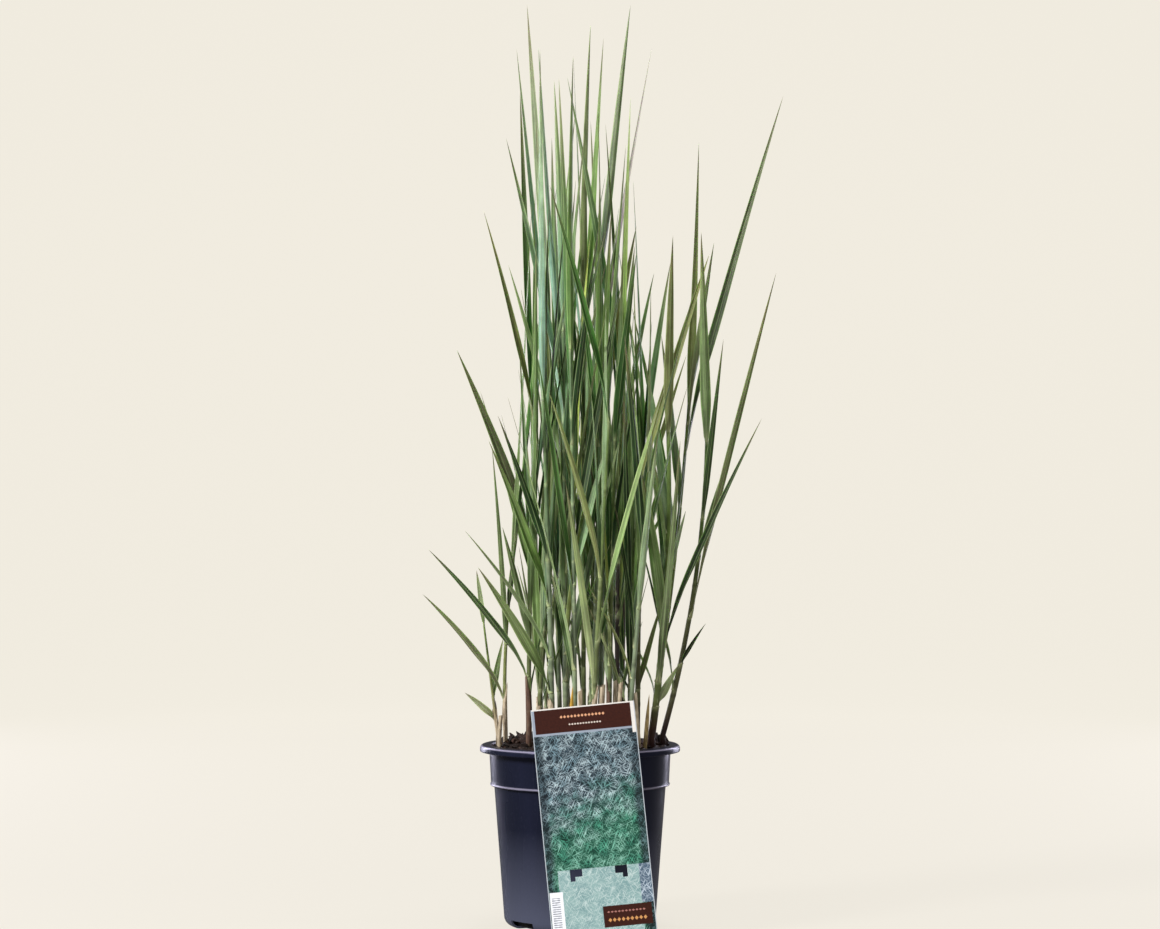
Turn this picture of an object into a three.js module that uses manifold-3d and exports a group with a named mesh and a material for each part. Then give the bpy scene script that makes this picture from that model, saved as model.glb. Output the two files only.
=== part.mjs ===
// Switchgrass growing in a nursery pot, with its label leaning on the rim.
// Millimetres, +Z up. The origin is the centre of the pot's underside, and -Y is the front.

import * as THREE from 'three';
import Module from 'manifold-3d';

const wasm = await Module();
wasm.setup();

// ---------------------------------------------------------------- driving dimensions

const GAP = 0.3;                  // left between pieces that touch

const POT_HEIGHT = 153.5;
const RIM_RADIUS = 85;            // outside of the lip
const LIP_HEIGHT = 5.8;
const WALL = 1.5;
const BAND_RADIUS = 77;           // body just under the lip
const BAND_FOOT_RADIUS = 75.5;    // foot of the upper band
const BAND_FOOT_HEIGHT = 120.5;
const WAIST_RADIUS = 72.8;         // body just under the step
const STEP_HEIGHT = 2;
const BASE_RADIUS = 64.5;         // body above the rounded base corner
const BASE_CORNER = 8;
const FLOOR = 2;
const POT_SIDES = 36;

const SLOT_COUNT = 6;             // drainage slots round the base corner
const SLOT_ANGLE = 26;            // degrees of arc
const SLOT_HEIGHT = 8;
const SLOT_INNER_RADIUS = 50;
const FIRST_SLOT = -141;          // degrees from +X, at the left of the front

const SOIL_EDGE_HEIGHT = 151;
const SOIL_MOUND = 6;             // how much higher the soil is in the middle
const SOIL_LUMP = 3.2;
const SOIL_RINGS = 5;
const SOIL_SIDES = POT_SIDES;
const CROWN_LEVEL = 161;          // the culms stand straight up to here
const HOLE_FLOOR = 135;

const LABEL_WIDTH = 86;
const LABEL_HEIGHT = 193.2;
const LABEL_THICKNESS = 0.8;
const LABEL_LEAN = 13;            // degrees back from upright
const LABEL_TURN = 5.6;           // degrees in its own plane
const LABEL_CORNER = [-22.1, -120.9, 0.05];   // its lower left corner, on the floor
const HOOK_WIDTH = 10;
const HOOK_BAR = 6.2;
const HOOK_LEG = 4;
const HOOK_DROP = 3.6;
const HOOK_LEVEL = 52.7;          // foot of the hook's bar
const HOOK_MARGIN = 19.5;         // from the card's edge to the hook

const STEM_SIDES = 5;
const STEM_TAPER = 0.5;           // radius at the top of a culm over radius at its foot
const BLADE_THICKNESS = 1.3;      // at the midrib
const BLADE_FOLD = 0.2;           // how far the edges stand up, over half the width
const BLADE_LAUNCH = 0.35;        // how long a blade keeps its first direction, over its length
const BLADE_CLING = 0.35;         // share of the stem's direction in a blade's first direction
const BLADE_STATIONS = [0, 0.09, 0.28, 0.52, 0.76, 1];
const ROOT_OFFSET = 0.5;          // from the stem's axis to a blade's root, over the stem's radius
const CLEARANCE = 0.7;            // between blades and stems of different culms
const TOP_ROOM = 35;              // kept free above each culm for its last blade
const COLLAR_STEP = 48;           // between one blade and the next on a culm
const FIRST_COLLAR = 193;
const DEPTH_LEAN = 1.28;          // how far back or front a culm's top lies, over its foot
const SWAY = 7;                   // and how far it strays from there
const OUTER_SLANT = 1.2;          // how much more a blade leans out at the edge of the plant
const VIEW_DISTANCE = 2900;       // the table holds blade tips as they look from this far in front
const VIEW_HEIGHT = 391;          // and from this height
const SEED = 20417;

// ---------------------------------------------------------------- the plant, as it grew

// Each culm: foot x, foot y, top x, top height, bow, foot radius, and the blades that show:
// collar height, tip x, tip height and width. The bow is how much of the sideways way is made
// at half height. The remaining blades grow by the rule in grownTries().
const CULMS = [
  [-70, 6, -82, 257, 0.5, 1.5, [[172, -98, 197, 6], [193, -65, 244, 6], [256, -88, 301, 4.5]]],
  [-63, -12, -54, 327, 0.05, 1.8, [[193, -134, 281, 6.5], [238, -75, 409, 5], [270, -55, 329, 4.5]]],
  [-43, -34, -36, 412, 0.2, 2.2, [[212, -129, 319, 6], [242, -66, 338, 6], [408, -82, 607, 6.5]]],
  [-33, 18, -41, 420, 0.45, 2.0, [[267, -85, 454, 5], [306, -105, 489, 10], [418, -51, 708, 7]]],
  [-23, -48, -31, 446, 0.4, 2.5,
    [[199, -87, 304, 10.5], [229, -98, 335, 6], [272, -78, 412, 9], [310, -70, 433, 7],
     [444, -34, 744, 6.5]]],
  [-17, 36, -26, 488, 0.45, 2.0, [[344, -38, 697, 7.5], [412, -54, 745, 6.5], [486, -45, 782, 7]]],
  [-12, -20, -14, 505, 0.5, 2.4,
    [[378, -61, 561, 5], [402, -9, 469, 5], [425, -63, 669, 8], [503, -22, 718, 6.5]]],
  [-4, -52, -8, 488, 0.4, 2.1,
    [[290, 24, 412, 7], [407, 17, 599, 6], [429, -18, 720, 6.5], [486, -6, 737, 7]]],
  [3, 8, 3, 531, 0.5, 2.2,
    [[218, -23, 275, 4], [233, 15, 249, 4], [357, 6, 497, 8.5], [463, 20, 754, 7], [529, 9, 765, 7.5]]],
  [9, 44, 14, 505, 0.5, 2.0, [[446, 61, 745, 4.5], [503, 43, 782, 7.5]]],
  [7, -30, 16, 429, 0.8, 2.1, [[233, 30, 285, 5], [310, 39, 663, 6.5], [427, 17, 643, 6.5]]],
  [17, 22, 22, 446, 0.5, 2.0,
    [[193, 15, 279, 6], [243, -5, 269, 4.5], [259, 0, 291, 4], [337, 24, 452, 7], [361, 9, 684, 6],
     [444, 48, 594, 6.5]]],
  [24, -40, 29, 412, 0.5, 2.2, [[201, 20, 251, 4.5], [410, 48, 571, 9]]],
  [31, -8, 33, 463, 0.5, 2.2,
    [[197, 14, 287, 6.5], [307, 40, 432, 7.5], [395, 43, 704, 7.5], [461, -11, 721, 8]]],
  [36, 30, 40, 429, 0.5, 2.0, [[427, 63, 554, 5]]],
  [43, -26, 51, 378, 0.1, 2.6, [[327, 100, 550, 6], [376, 110, 570, 7.5]]],
  [49, 14, 55, 412, 0.3, 2.4, [[199, 70, 275, 5], [307, 76, 359, 4], [410, 77, 563, 6]]],
  [60, -32, 74, 420, 0.9, 3.2,
    [[187, 84, 221, 8], [238, 155, 431, 7], [250, 52, 386, 10], [293, 90, 352, 4.5],
     [418, 79, 586, 9]]],
  [70, -8, 107, 412, 0.72, 2.5,
    [[222, 107, 256, 4], [261, 167, 555, 6.5], [310, 132, 412, 5], [344, 122, 498, 6],
     [410, 103, 589, 9]]],
  [61, 34, 94, 446, 0.6, 2.3, [[403, 173, 705, 8], [425, 114, 580, 6.5], [444, 101, 665, 7]]],
  [-30, 48, -12, 437, 0.5, 2.0, []],
  [-8, 61, -34, 477, 0.5, 2.0, []],
  [16, 62, 38, 477, 0.5, 2.0, []],
  [38, 52, 20, 447, 0.5, 2.0, []],
  [-36, -10, -22, 397, 0.5, 2.1, []],
  [10, -62, 24, 427, 0.5, 2.2, [[425, -26, 629, 6.5]]],
  [40, -54, 58, 387, 0.5, 2.2, []],
  [-12, 12, -20, 507, 0.5, 2.1, [[431, -24, 669, 7]]],
];

// Cut stubs of last year's culms: foot x, foot y, height of the cut, lean to the right, and radius.
const STUBS = [
  [-68, -19, 180, 1, 1.8],
  [2, -64, 204, -2, 2.0],
  [17, -54, 207, 2, 2.3],
  [31, -60, 210, 3, 1.9],
  [19, -28, 206, -1, 2.2],
  [29, -23, 210, 1, 2.0],
  [49, -44, 200, -3, 1.8],
];

// Dead leaves that still stand at the base: foot, tip, width and colour.
const DEAD_LEAVES = [
  { foot: [-9, -64], tip: [-6, -66, 207], width: 6.5, color: 0xc99a3f },
  { foot: [54, -38], tip: [58, -46, 199], width: 5, color: 0xb9a882 },
];

// How far the blades of the rule spread to the left and to the right at each height.
const SPREAD = [
  [157, -70, 75], [267, -95, 95], [407, -80, 115], [487, -66, 98],
  [547, -58, 50], [707, -44, 44], [797, -40, 40],
];
const DEPTH = 1.2;                // spread to the front and back over the spread to the sides
const STUB_CUT = 0.5;             // slope of a stub's cut

// ---------------------------------------------------------------- small helpers

const radians = THREE.MathUtils.degToRad;
const { clamp, lerp, smoothstep } = THREE.MathUtils;

/** Numbers from 0 to 1 that are the same every time for the same seed. */
function seededRandom(seed) {
  let state = seed >>> 0;
  return () => {
    state = (state + 0x6d2b79f5) >>> 0;
    let t = Math.imul(state ^ (state >>> 15), state | 1);
    t ^= t + Math.imul(t ^ (t >>> 7), t | 61);
    return ((t ^ (t >>> 14)) >>> 0) / 4294967296;
  };
}

/** Reads a table of rows [x, a, b, ...] at x, with straight lines between the rows. */
function readTable(table, x) {
  const last = table.length - 1;
  let i = 0;
  while (i < last - 1 && table[i + 1][0] < x) i += 1;
  const t = clamp((x - table[i][0]) / (table[i + 1][0] - table[i][0]), 0, 1);
  return table[i].map((value, k) => lerp(value, table[i + 1][k], t));
}

/**
 * Closed surface through rings of points, all with the same count. The last ring may be one point.
 * The diagonals alternate, so that a flat twisted blade is split alike on both faces.
 */
function loftRings(rings) {
  const sides = rings[0].length;
  const points = rings.flat();
  const index = [];
  for (let r = 0; r + 1 < rings.length; r += 1) {
    const low = r * sides;
    const high = low + sides;
    for (let k = 0; k < sides; k += 1) {
      const next = (k + 1) % sides;
      if (rings[r + 1].length === 1) {
        index.push(low + k, low + next, high);
      } else if (k % 2 === 0) {
        index.push(low + k, low + next, high + next, low + k, high + next, high + k);
      } else {
        index.push(low + k, low + next, high + k, low + next, high + next, high + k);
      }
    }
  }
  const top = points.length - sides;
  for (let k = 1; k + 1 < sides; k += 1) {
    index.push(0, k + 1, k);
    if (rings.at(-1).length > 1) index.push(top, top + k, top + k + 1);
  }
  return solidFrom(points.flatMap((p) => [p.x, p.y, p.z]), index);
}

/** A manifold solid from corner coordinates and triangles, turned so that its faces point out. */
function solidFrom(coordinates, index) {
  let volume = 0;
  for (let i = 0; i < index.length; i += 3) {
    const [a, b, c] = [0, 1, 2].map((k) => new THREE.Vector3().fromArray(coordinates, index[i + k] * 3));
    volume += a.dot(b.cross(c));
  }
  const triangles = volume > 0 ? index : index.map((_, i) => index[i - (i % 3) + 2 - (i % 3)]);
  return new wasm.Manifold(new wasm.Mesh({
    numProp: 3,
    vertProperties: new Float32Array(coordinates),
    triVerts: new Uint32Array(triangles),
  }));
}

/** The same for a three.js geometry whose corners are repeated from face to face. */
function solidFromGeometry(geometry) {
  const position = geometry.getAttribute('position');
  const seen = new Map();
  const coordinates = [];
  const renumbered = [];
  for (let i = 0; i < position.count; i += 1) {
    const corner = [position.getX(i), position.getY(i), position.getZ(i)]
      .map((v) => Math.round(v * 1e4) / 1e4);
    const key = corner.map((v) => v + 0).join();
    if (!seen.has(key)) {
      seen.set(key, coordinates.length / 3);
      coordinates.push(...corner);
    }
    renumbered.push(seen.get(key));
  }
  const corners = geometry.index ? Array.from(geometry.index.array, (i) => renumbered[i]) : renumbered;
  const index = [];
  for (let i = 0; i < corners.length; i += 3) {
    const [a, b, c] = corners.slice(i, i + 3);
    if (a !== b && b !== c && c !== a) index.push(a, b, c);
  }
  return solidFrom(coordinates, index);
}

/** A named mesh of a solid, in its own material. */
function meshFrom(name, solid, material) {
  const { vertProperties, triVerts } = solid.getMesh();
  const geometry = new THREE.BufferGeometry();
  geometry.setAttribute('position', new THREE.BufferAttribute(vertProperties, 3));
  geometry.setIndex(new THREE.BufferAttribute(triVerts, 1));
  geometry.computeVertexNormals();
  const mesh = new THREE.Mesh(geometry, new THREE.MeshStandardMaterial({ metalness: 0, ...material }));
  mesh.name = name;
  return mesh;
}

/** A profile of [radius, height] points turned about Z. */
function turned(profile, sides) {
  const geometry = new THREE.LatheGeometry(profile.map(([r, z]) => new THREE.Vector2(r, z)), sides);
  geometry.rotateX(Math.PI / 2);
  return solidFromGeometry(geometry);
}

// ---------------------------------------------------------------- pot and soil

/** Outline of the pot's outer wall from the base corner up to the lip. */
function outerWall() {
  const corner = BASE_CORNER * Math.SQRT1_2;
  return [
    [BASE_RADIUS - BASE_CORNER, 0],
    [BASE_RADIUS - BASE_CORNER + corner, BASE_CORNER - corner],
    [BASE_RADIUS, BASE_CORNER],
    [WAIST_RADIUS, BAND_FOOT_HEIGHT - STEP_HEIGHT],
    [BAND_FOOT_RADIUS, BAND_FOOT_HEIGHT],
    [BAND_RADIUS, POT_HEIGHT - WALL],
  ];
}

/** The container: a thin tapering wall with a step, a hollow lip, a floor and drainage slots. */
function pot() {
  const lip = [
    [RIM_RADIUS - WALL, POT_HEIGHT - WALL],
    [RIM_RADIUS - WALL, POT_HEIGHT - LIP_HEIGHT],
    [RIM_RADIUS, POT_HEIGHT - LIP_HEIGHT],
    [RIM_RADIUS, POT_HEIGHT - WALL],
    [RIM_RADIUS - WALL, POT_HEIGHT],
  ];
  const inside = outerWall().reverse().slice(0, -1).map(([r, z]) => [r - WALL, z]);
  inside[0][1] = POT_HEIGHT;
  const well = [[BASE_RADIUS - BASE_CORNER, FLOOR], [0, FLOOR]];
  const shell = turned([[0, 0], ...outerWall(), ...lip, ...inside, ...well], POT_SIDES);
  return drainageSlots().reduce((solid, slot) => solid.subtract(slot), shell);
}

/** Cutters for the slots: sectors of a ring through the base corner. */
function drainageSlots() {
  return Array.from({ length: SLOT_COUNT }, (_, i) => {
    const middle = radians(FIRST_SLOT + (i * 360) / SLOT_COUNT);
    const half = radians(SLOT_ANGLE / 2);
    const sector = new THREE.Shape();
    sector.absarc(0, 0, RIM_RADIUS, middle - half, middle + half, false);
    sector.absarc(0, 0, SLOT_INNER_RADIUS, middle + half, middle - half, true);
    sector.closePath();
    const cutter = new THREE.ExtrudeGeometry(sector, {
      depth: SLOT_HEIGHT + 1, bevelEnabled: false, curveSegments: 3,
    });
    cutter.translate(0, 0, -1);
    return solidFromGeometry(cutter);
  });
}

/** Height of the soil at a point: a low mound with broad waves. */
function soilHeight(x, y) {
  const reach = Math.hypot(x, y) / BAND_FOOT_RADIUS;
  const waves = Math.sin(x * 0.13 + 1.2) * Math.cos(y * 0.11 - 0.4) + 0.5 * Math.sin(x * 0.23 - y * 0.19);
  return SOIL_EDGE_HEIGHT + SOIL_MOUND * (1 - reach * reach) + waves * 1.5;
}

/** The soil body: the pot's inside with a lumpy top. */
function soil() {
  const random = seededRandom(SEED);
  const clear = WALL + GAP;
  const wallRadius = lerp(BAND_FOOT_RADIUS, BAND_RADIUS, 0.85) - clear;
  const side = [
    [BASE_RADIUS - BASE_CORNER, FLOOR + GAP],
    [BASE_RADIUS - clear, BASE_CORNER + FLOOR],
    [WAIST_RADIUS - clear, BAND_FOOT_HEIGHT - STEP_HEIGHT],
    [BAND_FOOT_RADIUS - clear, BAND_FOOT_HEIGHT + 1],
  ];
  const ring = (radius, height) => Array.from({ length: SOIL_SIDES }, (_, k) => {
    const angle = (k * 2 * Math.PI) / SOIL_SIDES;
    const [x, y] = [radius * Math.cos(angle), radius * Math.sin(angle)];
    return new THREE.Vector3(x, y, height(x, y));
  });
  const lumpy = (x, y) => soilHeight(x, y) + SOIL_LUMP * (random() - 0.4);
  const rings = side.map(([radius, z]) => ring(radius, () => z));
  for (let i = 0; i < SOIL_RINGS; i += 1) {
    rings.push(ring(wallRadius * (1 - i / SOIL_RINGS), lumpy));
  }
  rings.push([new THREE.Vector3(0, 0, soilHeight(0, 0))]);
  return loftRings(rings);
}

/** Cutter for the hole that a stem of this radius stands in. */
function stemHole([x, y], radius) {
  const sides = 6;
  const outer = (radius + GAP) / Math.cos(Math.PI / sides) + 0.1;
  const rings = [HOLE_FLOOR - GAP, CROWN_LEVEL + 30].map((z) => Array.from({ length: sides }, (_, k) => {
    const angle = (k * 2 * Math.PI) / sides;
    return new THREE.Vector3(x + outer * Math.cos(angle), y + outer * Math.sin(angle), z);
  }));
  return loftRings(rings);
}

// ---------------------------------------------------------------- label

/** Outline of a hook slot of the card: a bar with a leg at its outer end. */
function hookOutline(x, legAtLeft) {
  const right = x + HOOK_WIDTH;
  const top = HOOK_LEVEL + HOOK_BAR;
  const foot = HOOK_LEVEL - HOOK_DROP;
  const inner = legAtLeft ? x + HOOK_LEG : right - HOOK_LEG;
  return legAtLeft
    ? [[x, foot], [inner, foot], [inner, HOOK_LEVEL], [right, HOOK_LEVEL], [right, top], [x, top]]
    : [[x, HOOK_LEVEL], [inner, HOOK_LEVEL], [inner, foot], [right, foot], [right, top], [x, top]];
}

/** A flat plate of an outline, from one level to another. */
function plate(outline, low, high) {
  const shape = new THREE.Shape(outline.map(([u, v]) => new THREE.Vector2(u, v)));
  const geometry = new THREE.ExtrudeGeometry(shape, { depth: high - low, bevelEnabled: false });
  geometry.translate(0, 0, low);
  return solidFromGeometry(geometry);
}

/** The card with its two hook slots, flat in its own plane, with its lower left corner at the origin. */
function labelCard() {
  const corners = [[0, 0], [LABEL_WIDTH, 0], [LABEL_WIDTH, LABEL_HEIGHT], [0, LABEL_HEIGHT]];
  const hooks = [hookOutline(HOOK_MARGIN, true), hookOutline(LABEL_WIDTH - HOOK_MARGIN - HOOK_WIDTH, false)];
  return hooks.reduce(
    (card, hook) => card.subtract(plate(hook, -1, LABEL_THICKNESS + 1)),
    plate(corners, 0, LABEL_THICKNESS),
  );
}

/** The matrix that turns the card in its plane, leans it on the rim and stands it on the floor. */
function labelPlacement() {
  const turn = new THREE.Matrix4().makeRotationZ(radians(LABEL_TURN));
  const lean = new THREE.Matrix4().makeRotationX(radians(90 - LABEL_LEAN));
  const place = new THREE.Matrix4().makeTranslation(...LABEL_CORNER);
  return place.multiply(lean).multiply(turn);
}

// ---------------------------------------------------------------- stems and blades

/** The way a culm takes: height grows evenly with t, and the bow moves the sideways part. */
function culmPath([footX, footY, topX, topZ, bow]) {
  const foot = new THREE.Vector3(footX, footY, CROWN_LEVEL);
  const topY = footY * DEPTH_LEAN + SWAY * Math.sin(footX + 2 * footY);
  const top = new THREE.Vector3(topX, topY, topZ);
  const pull = 2 * bow - 0.5;
  const control = foot.clone().lerp(top, pull).setZ((foot.z + top.z) / 2);
  const curve = new THREE.QuadraticBezierCurve3(foot, control, top);
  return {
    curve,
    at: (z) => clamp((z - foot.z) / (top.z - foot.z), 0, 1),
  };
}

/** The way a blade takes from its collar: first between the stem's direction and the tip's. */
function bladePath(root, stemDirection, tip) {
  const chord = tip.clone().sub(root);
  const length = chord.length();
  const start = stemDirection.clone().multiplyScalar(BLADE_CLING);
  start.addScaledVector(chord, (1 - BLADE_CLING) / length).normalize();
  const control = root.clone().addScaledVector(start, BLADE_LAUNCH * length);
  return new THREE.QuadraticBezierCurve3(root, control, tip);
}

/** Half the width of a blade along its length, over the half of its full width. */
function bladeOutline(t) {
  if (t < 0.28) return lerp(0.5, 1, smoothstep(t, 0, 0.28));
  return Math.pow(1 - Math.pow((t - 0.28) / 0.72, 2.2), 0.9);
}

/**
 * Frames along a blade: centre, sideways unit vector and half width at each station.
 * The blade leaves its collar with its face to the stem and turns to its facing by half length.
 */
function bladeFrames({ root, stemDirection, tip, width, facing }) {
  const curve = bladePath(root, stemDirection, tip);
  const rootFacing = Math.atan2(tip.y - root.y, tip.x - root.x) + Math.PI / 2;
  const turn = Math.atan(Math.tan(facing - rootFacing));
  return BLADE_STATIONS.map((t) => {
    const angle = rootFacing + turn * smoothstep(t, 0, 0.55);
    const tangent = curve.getTangent(t);
    const side = new THREE.Vector3(Math.cos(angle), Math.sin(angle), 0);
    side.addScaledVector(tangent, -side.dot(tangent)).normalize();
    return { centre: curve.getPoint(t), tangent, side, half: (width / 2) * bladeOutline(t) };
  });
}

/** A blade as a solid: a shallow channel with a thick midrib and sharp edges, ending in a point. */
function bladeSolid(frames) {
  const hollow = frames[0].tangent.clone().cross(frames[0].side);
  const sign = hollow.z < 0 ? -1 : 1;
  const rings = frames.slice(0, -1).map(({ centre, tangent, side, half }, i) => {
    const normal = tangent.clone().cross(side).multiplyScalar(sign);
    const rib = (BLADE_THICKNESS / 2) * lerp(1, 0.7, i / frames.length);
    const lifted = centre.clone().addScaledVector(normal, BLADE_FOLD * half);
    const edge = (s) => lifted.clone().addScaledVector(side, s * half);
    return [
      edge(-1),
      centre.clone().addScaledVector(normal, -rib),
      edge(1),
      centre.clone().addScaledVector(normal, rib),
    ];
  });
  return loftRings([...rings, [frames.at(-1).centre]]);
}

/** A stem as a solid: rings along the path, thicker at each collar, closed by a point on top. */
function stemSolid(path, radius, collars) {
  const circle = (centre, size) => Array.from({ length: STEM_SIDES }, (_, k) => {
    const angle = (k * 2 * Math.PI) / STEM_SIDES;
    return new THREE.Vector3(centre.x + size * Math.cos(angle), centre.y + size * Math.sin(angle), centre.z);
  });
  const foot = path.curve.getPoint(0);
  const below = foot.clone().setZ(HOLE_FLOOR);
  const stations = [...new Set(collars.map((z) => path.at(z)))]
    .filter((t) => t > 0.02 && t < 0.98)
    .sort((a, b) => a - b);
  const rings = [circle(below, radius), circle(foot, radius)];
  stations.forEach((t) => rings.push(circle(path.curve.getPoint(t), radius * lerp(1.08, STEM_TAPER, t))));
  rings.push(circle(path.curve.getPoint(1), radius * STEM_TAPER));
  const point = path.curve.getPoint(1).addScaledVector(path.curve.getTangent(1), 14);
  return loftRings([...rings, [point]]);
}

// ---------------------------------------------------------------- keeping blades clear of each other

/** Nearest points of two straight pieces, as how far along each they lie and the way between them. */
function nearest(a, b) {
  const along = a.end.clone().sub(a.start);
  const beside = b.end.clone().sub(b.start);
  const between = a.start.clone().sub(b.start);
  const aa = along.dot(along);
  const bb = beside.dot(beside);
  const ab = along.dot(beside);
  const ac = along.dot(between);
  const bc = beside.dot(between);
  const denominator = aa * bb - ab * ab;
  let s = denominator > 1e-9 ? clamp((ab * bc - ac * bb) / denominator, 0, 1) : 0;
  let t = (ab * s + bc) / bb;
  if (t < 0) {
    t = 0;
    s = clamp(-ac / aa, 0, 1);
  } else if (t > 1) {
    t = 1;
    s = clamp((ab - ac) / aa, 0, 1);
  }
  const gap = between.addScaledVector(along, s).addScaledVector(beside, -t);
  return { s, t, gap };
}

/** How far a piece reaches from its centre line in a direction: by its width and by its thickness. */
function reach(piece, t, direction) {
  const side = piece.sideStart.clone().lerp(piece.sideEnd, t);
  return Math.abs(side.dot(direction)) * lerp(piece.halfStart, piece.halfEnd, t) + piece.thickness;
}

/** Whether two pieces come closer than the clearance. */
function tooClose(a, b) {
  const widest = a.size + b.size + CLEARANCE;
  if (a.low > b.high + widest || b.low > a.high + widest) return false;
  const { s, t, gap } = nearest(a, b);
  const distance = gap.length();
  if (distance > widest) return false;
  const direction = gap.divideScalar(Math.max(distance, 1e-6));
  return distance < reach(a, s, direction) + reach(b, t, direction) + CLEARANCE;
}

/** Straight pieces between the stations of a blade or stem, for the clearance test. */
function piecesOf(frames, thickness, culm) {
  return frames.slice(0, -1).map((frame, i) => {
    const next = frames[i + 1];
    return {
      start: frame.centre,
      end: next.centre,
      sideStart: frame.side,
      sideEnd: next.side,
      halfStart: frame.half,
      halfEnd: next.half,
      thickness,
      size: Math.max(frame.half, next.half) + thickness,
      low: Math.min(frame.centre.z, next.centre.z),
      high: Math.max(frame.centre.z, next.centre.z),
      culm,
      nearRoot: i < 2,
    };
  });
}

/**
 * Whether a blade's pieces are clear of everything placed so far. Its own stem doesn't count, and
 * neither do the roots of blades of its own culm.
 */
function isClear(pieces, placed) {
  return pieces.every((piece) => placed.every((other) => {
    const grownTogether = other.culm === piece.culm && (other.isStem || other.nearRoot || piece.nearRoot);
    return grownTogether || !tooClose(piece, other);
  }));
}

/** Strips of the label card above the rim, which blades keep clear of. */
function labelStrips() {
  const placement = labelPlacement();
  const count = 8;
  const strip = LABEL_WIDTH / count;
  const side = new THREE.Vector3(1, 0, 0);
  return Array.from({ length: count }, (_, i) => {
    const frames = [0.7, 1].map((level) => ({
      centre: new THREE.Vector3((i + 0.5) * strip, level * LABEL_HEIGHT, 0).applyMatrix4(placement),
      side,
      half: strip / 2,
    }));
    return piecesOf(frames, LABEL_THICKNESS + 1, 'label');
  }).flat();
}

/** Stem pieces for the clearance test. */
function stemPieces(path, radius, culm) {
  const steps = 6;
  const side = new THREE.Vector3(1, 0, 0);
  const frames = Array.from({ length: steps + 1 }, (_, i) => ({
    centre: path.curve.getPoint(i / steps), side, half: 0,
  }));
  const beyond = path.curve.getPoint(1).addScaledVector(path.curve.getTangent(1), TOP_ROOM);
  frames.push({ centre: beyond, side, half: 0 });
  return piecesOf(frames, radius * 1.08, culm).map((piece) => ({ ...piece, isStem: true }));
}

/** A stub for the clearance test. */
function stubPieces(stub) {
  const side = new THREE.Vector3(1, 0, 0);
  return piecesOf(stubAxis(stub).map((centre) => ({ centre, side, half: 0 })), stub[4], 'stub');
}

// ---------------------------------------------------------------- the blades of each culm

/** Where on a culm a blade grows: a little off the axis on the side that it leaves to. */
function rootAt(culm, collar, outward) {
  const t = culm.path.at(collar);
  const offset = culm.row[5] * lerp(1, STEM_TAPER, t) * ROOT_OFFSET;
  const root = culm.path.curve.getPoint(t).addScaledVector(outward, offset);
  return { root, stemDirection: culm.path.curve.getTangent(t), t };
}

/** A tip of the table at its true place: further back it lies further out, to look the same. */
function tipAt(x, depth, z) {
  const scale = 1 + depth / VIEW_DISTANCE;
  return new THREE.Vector3(x * scale, depth, VIEW_HEIGHT + (z - VIEW_HEIGHT) * scale);
}

/** The ways that a blade with a known tip may lie: its depth and its facing are tried in turn. */
function tracedTries(culm, [collar, tipX, tipZ, width]) {
  const { x, y } = culm.path.curve.getPoint(culm.path.at(collar));
  const away = y >= 0 ? 1 : -1;
  const start = away * 14 + (culm.random() - 0.5) * 30;
  const facing = radians((culm.random() - 0.5) * 70);
  return Array.from({ length: 26 }, (_, k) => {
    const depth = y + start + Math.ceil(k / 2) * 7 * (k % 2 === 0 ? away : -away);
    const tip = tipAt(tipX, depth, tipZ);
    const outward = new THREE.Vector3(tip.x - x, tip.y - y, 0).normalize();
    return { ...rootAt(culm, collar, outward), tip, width, facing: facing + (k % 3) * 0.4 };
  });
}

/** The ways that a blade of the rule may lie: its direction, slant and length are tried in turn. */
function grownTries(culm, collar, compass) {
  const { path, row, random } = culm;
  const t = path.at(collar);
  const length = lerp(170, 320, Math.sqrt(t)) + (random() - 0.5) * 90;
  const slant = radians(lerp(20, 8, t) + (random() - 0.5) * 8);
  const width = lerp(8.4, 7.2, t) + (random() - 0.5) * 2;
  const facing = (random() - 0.5) * Math.PI;
  return Array.from({ length: 24 }, (_, k) => {
    const angle = compass + Math.ceil(k / 2) * 0.5 * (k % 2 === 0 ? 1 : -1);
    const outward = new THREE.Vector3(Math.cos(angle), Math.sin(angle), 0);
    const outermost = Math.max(0, (outward.x * row[0] + outward.y * row[1]) / BAND_RADIUS);
    const lean = slant * (1 - 0.25 * (k % 3)) * (1 + OUTER_SLANT * outermost);
    const size = length * (1 - 0.02 * k);
    const { root, stemDirection } = rootAt(culm, collar, outward);
    const tip = root.clone()
      .addScaledVector(stemDirection, Math.cos(lean) * size)
      .addScaledVector(outward, Math.sin(lean) * size);
    return { root, stemDirection, tip, width, facing: facing + k * 0.3 };
  }).filter(({ tip }) => isInside(tip));
}

/** Whether a tip lies within the plant's outline. */
function isInside({ x, y, z }) {
  const [, left, right] = readTable(SPREAD, z);
  const deep = DEPTH * (right - left) / 2;
  return z < SPREAD.at(-1)[0] - 40 && x > left && x < right && Math.abs(y) < deep;
}

/** Collar heights of a culm that carry no traced blade. */
function freeCollars([, , , topZ, , , traced], random) {
  const collars = [];
  for (let z = FIRST_COLLAR + random() * 40; z < topZ - 25; z += COLLAR_STEP * (0.85 + 0.3 * random())) {
    if (traced.every(([collar]) => Math.abs(collar - z) > 20)) collars.push(z);
  }
  if (traced.every(([collar]) => topZ - collar > 20)) collars.push(topZ - 2);
  return collars;
}

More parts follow.
